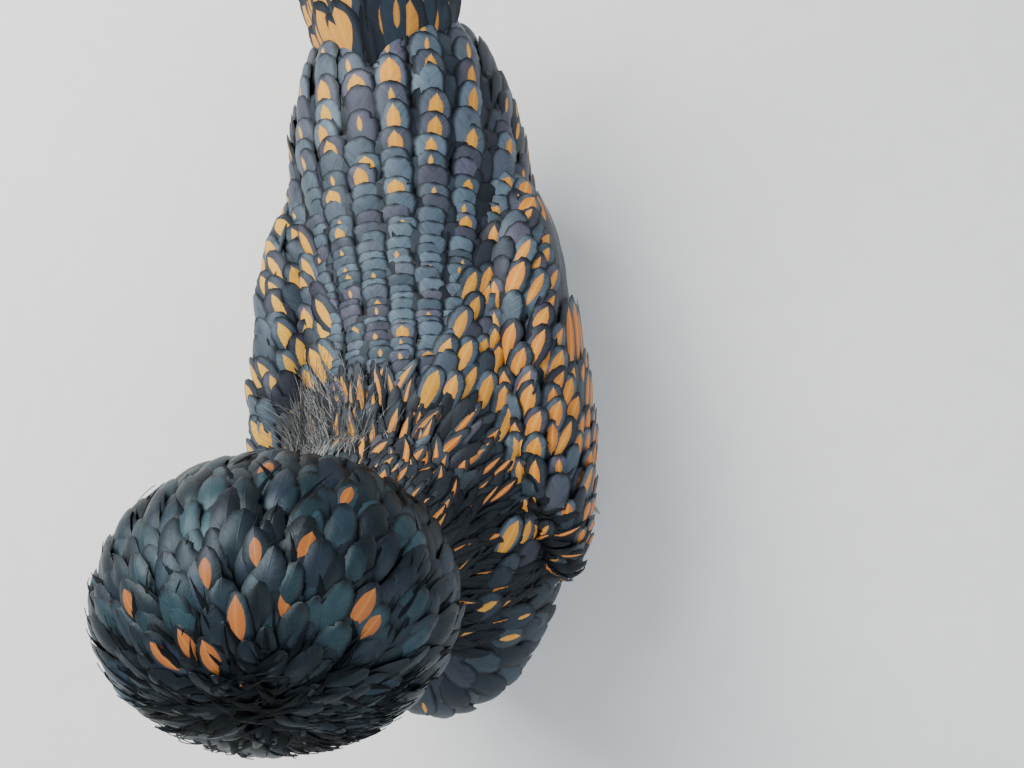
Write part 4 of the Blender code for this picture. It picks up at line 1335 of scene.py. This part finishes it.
def hackle_strands():
    """Long silvery barbs, fine as hair, that fringe the hackle where it spreads over the shoulders."""
    feathers = []
    while len(feathers) < HACKLE_STRANDS:
        share = between(0.10, 0.60)
        centre, radius, along, side, other = neck_ring(share)
        turn = between(0, 2 * math.pi)
        ray = side * math.cos(turn) + other * math.sin(turn)
        start = centre + ray * radius
        if ray.y < -0.1 or not chance(fade(start.x, 0.004, -0.04)) or in_head(start):
            continue
        right = hackle_right(start)
        spread = Vector((jitter(0.30) - 0.3 * right, 0.45 + 0.6 * right, 0))
        feather = walked(
            start, spread - along * (1 - 0.4 * right), between(*STRAND_LENGTHS), between(*STRAND_LIFTS),
            between(*STRAND_HALF_WIDTHS), "wisp", 9, 2, 0.0010, 0.0, 0.1, sway=jitter(0.9),
        )
        feather.tint = (0.5, between(0.2, 1.0), 0.0, 0.0)
        feathers.append(feather)
    return feathers


# Wings

# Tiers of the folded wing from the shoulder back: start, rows, pitch of rows, pitch across, length, half
# width, lift
WING_TIERS = (
    ("lesser", -0.088, 7, 0.0074, 0.0078, 0.024, 0.0052, 0.0036),
    ("median", -0.038, 2, 0.0092, 0.0090, 0.033, 0.0062, 0.0038),
    ("greater", -0.022, 1, 0.0100, 0.0096, 0.050, 0.0074, 0.0036),
    ("secondary", 0.004, 1, 0.0100, 0.0088, 0.079, 0.0082, 0.0036),
)
PRIMARY_COUNT = 6
PRIMARY_LENGTH = 0.082
PRIMARY_HALF_WIDTH = 0.0062


def wing_root(side, along, height):
    """A point of a folded wing's outer face."""
    bulge = 1 - (along / WING_SEMI.y) ** 2 - (height / WING_SEMI.z) ** 2
    local = Vector((side * WING_SEMI.x * math.sqrt(max(bulge, 0.01)), along, height))
    return wing_place(side) @ local


def wing_feathers(side):
    """One folded wing: small coverts at the shoulder, larger ones behind, then the flight feathers."""
    turned = wing_place(side).to_3x3()
    for name, start, rows, pitch, across, length, half_width, lift in WING_TIERS:
        covert = name != "secondary"
        for row in range(rows):
            along = start + row * pitch
            reach = WING_SEMI.z * math.sqrt(max(1 - (along / WING_SEMI.y) ** 2, 0.05)) * 0.96
            count = max(int(2 * reach / across), 2)
            for k in range(count + 1):
                height = -reach + 2 * reach * (k + 0.5 * (row % 2)) / count
                if abs(height) > reach:
                    continue
                bow = 0.008 * (height / WING_SEMI.z) ** 2
                root = wing_root(side, along - bow + jitter(0.0015), height)
                heading = turned @ Vector((0.0, 1.0, -0.26 * height / WING_SEMI.z + jitter(0.06)))
                grow = bend_share(root)
                feather = walked(
                    root, heading, length * grow * (1 + jitter(0.06)), lift * grow + jitter(0.0005),
                    half_width * (1 + jitter(0.08)),
                    "round" if covert else "broad", 10 if covert else 14, 4 if covert else 6, 0.0022,
                    0.0012 if covert else 0.0008, 0.10,
                )
                feather.roll(0.06 * side + jitter(0.09))
                feather.tint = (min(warm(root) + 0.12, 1.0), between(0.2, 0.8), 0.0, between(0.1, 0.5))
                if covert and chance(0.84):
                    feather.mark = flame(between(0.40, 1.0), 0.38, 0.8)
                elif not covert and chance(0.6):
                    feather.mark = (between(0.15, 0.40), 0.86, 0.09, 0.6)
                yield feather
    for k in range(PRIMARY_COUNT):
        root = wing_root(side, 0.018, -0.028 + 0.0038 * k)
        heading = turned @ Vector((0.0, 1.0, 0.16))
        feather = walked(
            root, heading, PRIMARY_LENGTH - 0.003 * k, 0.0014 + 0.0003 * k, PRIMARY_HALF_WIDTH, "broad",
            14, 4, 0.0022, 0.0004, 0.06,
        )
        feather.tint = (0.6, 0.3, 0.3, 0.4)
        feather.mark = (0.42, 0.30, 0.55, 0.5) if k < 3 else NO_MARK
        yield feather


# Tail

# The main feathers: pairs, length, half width, start along the tail, and the drop from one to the next
TAIL_PAIRS = 7
TAIL_LENGTH = 0.132
TAIL_HALF_WIDTH = 0.0125
TAIL_START = 0.006
TAIL_STEP = 0.0016

# Rows of tail coverts from below: pairs, length, half width, start along the tail, height above its middle,
# and how much lower each pair is than the one before it
TAIL_COVERTS = (
    (7, 0.062, 0.0125, 0.040, 0.0026, 0.0003),
    (7, 0.060, 0.0122, 0.029, 0.0044, 0.0003),
    (7, 0.058, 0.0118, 0.018, 0.0060, 0.0014),
    (7, 0.056, 0.0112, 0.008, 0.0076, 0.0014),
    (6, 0.052, 0.0106, -0.001, 0.0090, 0.0014),
)
# Only the left half has the lowest rows, so the right half's main feathers are bare nearer their roots
LEFT_ROWS = 2


def tail_feather(side, share, length, half_width, along, level, kind, stations, columns, cup):
    """A tail feather set at a share of the fan from its middle to its edge."""
    yaw = side * (math.radians(6.5) + math.radians(21.0) * share)
    roll = side * (math.radians(34.0) + math.radians(12.0) * share)
    sag = -math.radians(18.0) * share**1.5
    root = Vector((side * (0.004 + 0.006 * share), along, level))
    heading = Vector((math.sin(yaw) * math.cos(sag), math.cos(yaw) * math.cos(sag), math.sin(sag)))
    across = Vector((math.cos(yaw) * math.cos(roll), -math.sin(yaw) * math.cos(roll), -math.sin(roll)))
    out = across.cross(heading).normalized()
    shares, widths = outline(kind, stations)
    turned = np.array(tail_place().to_3x3())
    spine = np.array(root) + np.outer(shares * length, heading) - np.outer(length * 0.06 * shares**2, out)
    spine = spine @ turned.T + np.array(TAIL_ROOT)
    outs = np.tile(turned @ np.array(out), (stations, 1))
    return Feather(spine, outs, shares, widths * half_width, length, cup, columns, 0.06)


def tail_feathers():
    """Main feathers in two halves that meet like a roof, and broad laced coverts over their roots."""
    for i in range(TAIL_PAIRS):
        share = i / (TAIL_PAIRS - 1)
        for side in (1, -1):
            level = -TAIL_STEP * (i + (0.3 if side < 0 else 0.0))
            length = TAIL_LENGTH * (1 - 0.18 * share**2) * (1 + jitter(0.015))
            feather = tail_feather(
                side, share, length, TAIL_HALF_WIDTH, TAIL_START, level, "broad", 22, 8, 0.0014
            )
            feather.tint = (0.55 + jitter(0.1), 0.25, between(0.5, 0.95), 0.3)
            feather.mark = (0.80, 0.47, 0.46, 1.0)
            yield feather
    for row, (pairs, length, half_width, along, level, drop) in enumerate(TAIL_COVERTS):
        for i in range(pairs):
            share = 1.22 * (i + 0.45 * (row % 2)) / (pairs - 0.55)
            for side in (1, -1):
                if side < 0 and row < LEFT_ROWS:
                    continue
                feather = tail_feather(
                    side, share, length * (1 + jitter(0.07)), half_width * (1 + jitter(0.08)),
                    along + jitter(0.003), level - drop * i, "round", 15, 8, 0.0018,
                )
                feather.roll(jitter(0.10))
                dark = fade(row, 0.5, 3) * (0.75 if side > 0 else 0.35)
                feather.tint = (0.30 + 0.30 * (side > 0) + jitter(0.12), between(0.3, 0.8), 0.0, 0.3)
                size = between(0.60, 0.76) * (1 - 0.45 * dark)
                feather.mark = (size, 0.74, 0.17 + 0.05 * (1 - dark), 1 - dark)
                if chance(0.5 * dark):
                    feather.mark = flame(between(0.1, 0.6), 0.34)
                yield feather


# Bill, eyes, feet and claws

BILL_STATIONS = (
    (-0.0200, 0.0082, 0.0040, -0.0035, -0.0090),
    (-0.0270, 0.0072, 0.0036, -0.0042, -0.0092),
    (-0.0340, 0.0054, 0.0014, -0.0052, -0.0092),
    (-0.0400, 0.0032, -0.0028, -0.0066, -0.0090),
    (-0.0437, 0.0014, -0.0078, -0.0096, -0.0104),
)
BILL_RINGS = 34
BILL_ARC = 28
LOWER_BILL_SHARE = 0.86
LOWER_BILL_WIDTH = 0.90
NOSTRIL = Vector((0.0052, -0.0315, 0.0000))
LID_REDNESS = 0.55


def make_bill(name, upper, material):
    """One half of the bill, with a rounded ridge, a sharp cutting edge and, above, the nostrils."""
    way = 1 if upper else -1
    reach = 1.0 if upper else LOWER_BILL_SHARE
    base = BILL_STATIONS[0][0]
    rings = []
    for y, half_width, top, mouth, under in curve_rows(BILL_STATIONS, BILL_RINGS):
        width = half_width * (1.0 if upper else LOWER_BILL_WIDTH)
        rise = top - mouth if upper else mouth - under
        ring = []
        for s in range(BILL_ARC + 1):
            turn = math.pi * s / BILL_ARC
            high = mouth + way * (0.00015 + rise * math.sin(turn) ** 0.8)
            point = Vector((width * math.cos(turn), base + (y - base) * reach, high))
            if upper:
                for side in (1, -1):
                    away = point - sided(NOSTRIL, side)
                    far = (away.y / 0.0024) ** 2 + (away.z / 0.0011) ** 2
                    point.x -= side * 0.0016 * math.exp(-far * 1.6)
                    point.x += side * 0.0006 * math.exp(-((far - 2.2) ** 2))
            ring.append(head_place() @ point)
        rings.append(ring)
    obj = mesh_object(name, *through_rings(rings), material)
    back = head_place().inverted()
    grown, pit = [], []
    for vertex in obj.data.vertices:
        local = back @ vertex.co
        # Where the nostril pit gets its painted shade
        away = Vector((0, (local.y - NOSTRIL.y) / 0.0017, (local.z - NOSTRIL.z) / 0.0008)).length
        grown.append(float(fade(local.y, -0.028, -0.014)))
        pit.append(float(upper and smooth(1.5 - away)))
    keep_values(obj, "grown", grown)
    keep_values(obj, "pit", pit)
    obj.data.set_sharp_from_angle(angle=math.radians(50))
    return settled(obj, "bill", [name.replace("_horn", "")])


def make_eye(side, word, material):
    """A clear round eye that looks out and a little forward."""
    centre = head_place(sided(EYE_CENTRE, side)).translation
    gaze = head_place().to_3x3() @ Vector((side, -0.22, 0.05))
    points, faces = ellipsoid(Matrix.Identity(4), (EYE_RADIUS,) * 3, 40, 40)
    eye = mesh_object(f"eye_globe_{word}", points, faces, material)
    eye.matrix_world = Matrix.Translation(centre) @ gaze.to_track_quat("Z", "Y").to_matrix().to_4x4()
    return settled(eye, "eye", [f"eye_{word}"])


def make_lids(side, word, material):
    """Upper and lower lid as one wrinkled ring of bare skin round the eye."""
    around, thick = 64, 14
    place = head_place(sided(EYE_CENTRE, side)) @ Matrix.Rotation(math.radians(-14.0 * side), 4, "Z")
    points = []
    for turn in circle(around):
        for small in circle(thick):
            coarse = 0.10 * math.sin(turn * 17) * max(math.cos(small), 0)
            fold = 1 + coarse + 0.06 * math.sin(turn * 29 + small)
            reach = 0.0051 + 0.0012 * math.cos(small) * fold
            out = 0.0033 + 0.0010 * math.sin(small) * fold - 0.0008 * abs(math.cos(turn))
            point = Vector((side * out, reach * math.cos(turn), 0.80 * reach * math.sin(turn)))
            points.append(place @ point)
    faces = []
    for i in range(around):
        for j in range(thick):
            a, b = i * thick, ((i + 1) % around) * thick
            k = (j + 1) % thick
            faces.append((a + j, b + j, b + k, a + k))
    lids = mesh_object(f"lids_{word}", points, faces, material)
    keep_values(lids, "bare", [LID_REDNESS] * len(points))
    return settled(lids, "face_skin")


HOCK = Vector((0.0460, 0.0480, 0.0110))
ANKLE = Vector((0.0440, -0.0320, 0.0068))
SHANK_LENGTH = 0.080
SHANK_SCUTE = 0.0042
SHANK_SAMPLES = 110
TOE_SCUTE = 0.0026
SHANK_RADIUS = 0.0052
TOE_RADIUS = 0.0036
TOES = (("middle", 4.0, 0.050), ("inner", -30.0, 0.037), ("outer", 36.0, 0.039), ("back", 200.0, 0.017))
TOE_SWELLINGS = ((0.0, 1.25), (0.28, 0.95), (0.42, 1.12), (0.62, 0.88), (0.76, 1.0), (1.0, 0.72))
FOOT_SIDES = 22
CLAW_LENGTH = 0.0095
CLAW_RADIUS = 0.0022
CLAW_DROP = 0.0016
CLAW_SINK = 0.0008
CLAW_SIDES = 16


def scuted(length, scute):
    """The swell of a toe or shank: overlapping plates above, fine pads below."""
    def swell(share, turn):
        phase = (share * length / scute) % 1.0
        plate = 0.07 * (phase**0.6 - 0.5) * max(math.sin(turn), 0.0)
        pad = 0.03 * math.sin(share * length / 0.0011) * max(-math.sin(turn), 0.0)
        return 1 + plate + pad
    return swell


def toe_parts(side, turn):
    """Which way a toe points, and where all toes start."""
    angle = math.radians(turn)
    return Vector((math.sin(angle) * side, -math.cos(angle), 0.0)), Vector((ANKLE.x * side, ANKLE.y, 0.0))


def make_foot(side, word, material):
    """Shank and four toes with their rows of scutes."""
    hock, ankle = sided(HOCK, side), sided(ANKLE, side)
    shank = [
        (hock, SHANK_RADIUS * 1.2), (hock.lerp(ankle, 0.25), SHANK_RADIUS),
        (hock.lerp(ankle, 0.8), SHANK_RADIUS), (ankle, SHANK_RADIUS * 1.1),
    ]
    shapes = [(shank, SHANK_LENGTH, SHANK_SCUTE, SHANK_SAMPLES)]
    for _, turn, length in TOES:
        heading, start = toe_parts(side, turn)
        line = []
        for share, size in TOE_SWELLINGS:
            point = start + heading * length * share
            point.z = TOE_RADIUS * size * 0.96
            line.append((point, TOE_RADIUS * size))
        shapes.append((line, length, TOE_SCUTE, max(int(length / 0.00045), 30)))
    forms, ridges = [], []
    for line, length, scute, samples in shapes:
        forms.append(tube(line, FOOT_SIDES, samples, scuted(length, scute)))
        for s in range(samples):
            phase = (s / (samples - 1) * length / scute) % 1.0
            ridges += [max(0.0, 1 - phase / 0.22) * max(math.sin(t), 0.15) for t in circle(FOOT_SIDES)]
        ridges += [0.0, 0.0]
    foot = mesh_object(f"foot_scales_{word}", *gathered(forms), material)
    keep_values(foot, "ridge", ridges)
    for vertex in foot.data.vertices:
        vertex.co.z = max(vertex.co.z, 0.0)
    return settled(foot, "leg_scales", [f"foot_{word}"])


def make_claw(name, side, word, turn, length, material):
    """A horn claw that bends down from the end of its toe."""
    heading, start = toe_parts(side, turn)
    across = heading.cross(Vector((0, 0, 1)))
    start = start + heading * (length + TOE_RADIUS * 0.72 * 0.6 - CLAW_SINK)
    start.z = TOE_RADIUS * 0.90
    rings = []
    for i in range(CLAW_SIDES):
        share = i / CLAW_SIDES
        size = CLAW_RADIUS * (1 - share**1.5) ** 0.75
        centre = start + heading * (CLAW_LENGTH + CLAW_SINK) * share
        centre.z -= CLAW_DROP * share**1.6
        rings.append([
            centre + size * (across * 0.72 * math.cos(t) + Vector((0, 0, math.sin(t))))
            for t in circle(CLAW_SIDES)
        ])
    tip = start + heading * (CLAW_LENGTH + CLAW_SINK) + Vector((0, 0, -CLAW_DROP))
    claw = mesh_object(f"claw_horn_{name}_{word}", *through_rings(rings, None, tip), material)
    keep_values(claw, "grown", [
        smooth((vertex.co - start).dot(heading) / CLAW_LENGTH) for vertex in claw.data.vertices
    ])
    return settled(claw, "claw", [f"claw_{name}_{word}"])


# The room, the light and the camera

FLOOR_HALF = 3
LIT_POINT = Vector((0, -0.02, 0.08))
SKY_COLOUR = (0.80, 0.88, 1.0, 1.0)
SKY_STRENGTH = 0.75
# Soft lights: name, place, size, power, colour
LIGHTS = (
    ("key", (-0.55, 0.45, 1.00), 0.7, 27.0, (1.0, 0.97, 0.93)),
    ("fill", (0.9, -0.4, 0.8), 1.0, 7.0, (0.92, 0.96, 1.0)),
    ("front", (-0.3, -1.1, 0.5), 0.7, 3.4, (1.0, 0.98, 0.95)),
)


def make_room():
    """A plain pale floor under a soft sky and three lights."""
    corners = [(x * FLOOR_HALF, y * FLOOR_HALF, 0) for x, y in ((-1, -1), (1, -1), (1, 1), (-1, 1))]
    floor = mesh_object("floor", corners, [(0, 1, 2, 3)])
    paint = Paint("floor")
    grain = paint.noise(paint.node("TexCoord").outputs["Object"], 60.0, 4.0)
    paint.set(Base_Color=paint.mix(grain, (0.66, 0.66, 0.65), (0.72, 0.72, 0.70)), Roughness=0.85)
    floor.data.materials.append(paint.material)
    world = bpy.data.worlds.new("soft_sky")
    world.use_nodes = True
    sky = world.node_tree.nodes["Background"]
    sky.inputs["Color"].default_value = SKY_COLOUR
    sky.inputs["Strength"].default_value = SKY_STRENGTH
    bpy.context.scene.world = world
    for name, place, size, power, colour in LIGHTS:
        data = bpy.data.lights.new(name, "AREA")
        data.size = size
        data.energy = power
        data.color = colour
        light = shown(name, data)
        light.location = place
        light.rotation_euler = (LIT_POINT - Vector(place)).to_track_quat("-Z", "Y").to_euler()


def make_camera():
    """The photograph's own camera."""
    data = bpy.data.cameras.new("camera")
    data.sensor_width = SENSOR_WIDTH
    data.lens = FOCAL_PIXELS / PHOTO_SIZE[0] * SENSOR_WIDTH
    data.clip_start = NEAREST_SEEN
    camera = shown("camera", data)
    right, up, look = camera_axes()
    turned = Matrix((right, up, -look)).transposed().to_4x4()
    camera.matrix_world = Matrix.Translation(CAMERA_PLACE) @ turned
    bpy.context.scene.camera = camera


BARE_REACH = 0.0112


def finish_skin():
    """Marks the bare face on the skin and gives the skin its material."""
    eyes = [head_place(sided(EYE_CENTRE, side)).translation for side in (1, -1)]
    nearest = [min((vertex.co - eye).length for eye in eyes) for vertex in SKIN.data.vertices]
    keep_values(SKIN, "bare", [fade(far, BARE_REACH, -0.004) for far in nearest])
    SKIN.data.materials.clear()
    SKIN.data.materials.append(skin_paint())
    settled(SKIN, "body_feathers", ["torso", "head", "thigh_left", "thigh_right"])


STRAW = (0.64, 0.34, 0.030)
ORANGE = (0.50, 0.130, 0.008)
# Paints of the plumage: rim, slate and plum of the painted sheen on the dark web (the silver barbs' own
# silver), pale and deep gold, roughness, how ragged a mark's edge is, how clear the shafts are, shine
PLUMAGES = {
    "plumage": (
        (0.0026, 0.0026, 0.0038), (0.112, 0.158, 0.200), (0.100, 0.096, 0.136), STRAW, ORANGE, 0.38,
    ),
    "hackle_plumage": (
        (0.0026, 0.0026, 0.0032), (0.100, 0.125, 0.145), (0.10, 0.095, 0.115), STRAW, ORANGE, 0.42,
    ),
    "silver_barbs": ((0.12, 0.12, 0.12), (0.56, 0.57, 0.55), (0.48, 0.46, 0.43), STRAW, ORANGE, 0.50),
    "crest_plumage": (
        (0.0016, 0.0020, 0.0026), (0.020, 0.050, 0.062), (0.018, 0.028, 0.046),
        (0.34, 0.120, 0.016), (0.235, 0.056, 0.006), 0.29, 0.07, 0.10, 0.32,
    ),
    "crest_wisp": (
        (0.0010, 0.0012, 0.0016), (0.008, 0.014, 0.018), (0.008, 0.010, 0.016), STRAW, ORANGE,
        0.46, 0.07, 0.10, 0.12,
    ),
    "tail_plumage": (
        (0.0024, 0.0024, 0.0030), (0.030, 0.044, 0.066), (0.034, 0.030, 0.046),
        (0.62, 0.31, 0.040), (0.46, 0.150, 0.014), 0.44, 0.10,
    ),
}
CREST_UNWRAP = globe_unwrap(head_place(CREST_CENTRE), CREST_POLE)
BEARD_UNWRAP = globe_unwrap(head_place(BEARD_CENTRE), BEARD_POLE)
FACE_UNWRAP = globe_unwrap(head_place(), Vector((0, -1, 0)))
# Pieces of the coat: name, what makes its feathers, paint, slot, unwrap, the solids that it stands for
COAT = (
    ("crest_coat", crest_feathers, "crest_plumage", "crest_feathers", CREST_UNWRAP, ["crest"]),
    ("crest_wisps", crest_wisps, "crest_wisp", "crest_feathers", CREST_UNWRAP, []),
    ("beard_coat", beard_feathers, "crest_plumage", "beard_feathers", BEARD_UNWRAP, ["beard"]),
    ("face_coat", face_feathers, "crest_plumage", "beard_feathers", FACE_UNWRAP, []),
    ("saddle_coat", saddle_feathers, "plumage", "body_feathers", trunk_unwrap, []),
    ("shoulder_coat", shoulder_feathers, "plumage", "body_feathers", trunk_unwrap, []),
    ("under_coat", under_feathers, "plumage", "body_feathers", trunk_unwrap, []),
    ("body_coat", body_feathers, "plumage", "body_feathers", trunk_unwrap, []),
    ("hackle_coat", hackle_feathers, "hackle_plumage", "hackle_feathers", trunk_unwrap, ["neck"]),
    ("hackle_wisps", hackle_strands, "silver_barbs", "hackle_feathers", trunk_unwrap, []),
    ("tail_coat", tail_feathers, "tail_plumage", "tail_feathers", trunk_unwrap, ["tail"]),
)


def main():
    paints = {name: feather_paint(name, *values) for name, values in PLUMAGES.items()}
    bill_paint = horn_paint("bill", (0.060, 0.064, 0.078), (0.30, 0.26, 0.21), 0.34)
    claw_paint = horn_paint("claw", (0.10, 0.095, 0.095), (0.28, 0.24, 0.20), 0.30)
    scales = scale_paint()
    wet = eye_paint()
    make_camera()
    make_room()
    finish_skin()
    for name, make, paint, slot, unwrap, nodes in COAT:
        coat_piece(name, list(make()), paints[paint], slot, unwrap, nodes)
    make_bill("bill_upper_horn", True, bill_paint)
    make_bill("bill_lower_horn", False, bill_paint)
    for side, word in ((1, "left"), (-1, "right")):
        feathers, wing = list(wing_feathers(side)), f"wing_{word}"
        coat_piece(f"wing_coat_{word}", feathers, paints["plumage"], "wing_feathers", trunk_unwrap, [wing])
        make_eye(side, word, wet)
        make_lids(side, word, SKIN.data.materials[0])
        make_foot(side, word, scales)
        for name, turn, length in TOES:
            make_claw(name, side, word, turn, length, claw_paint)


main()
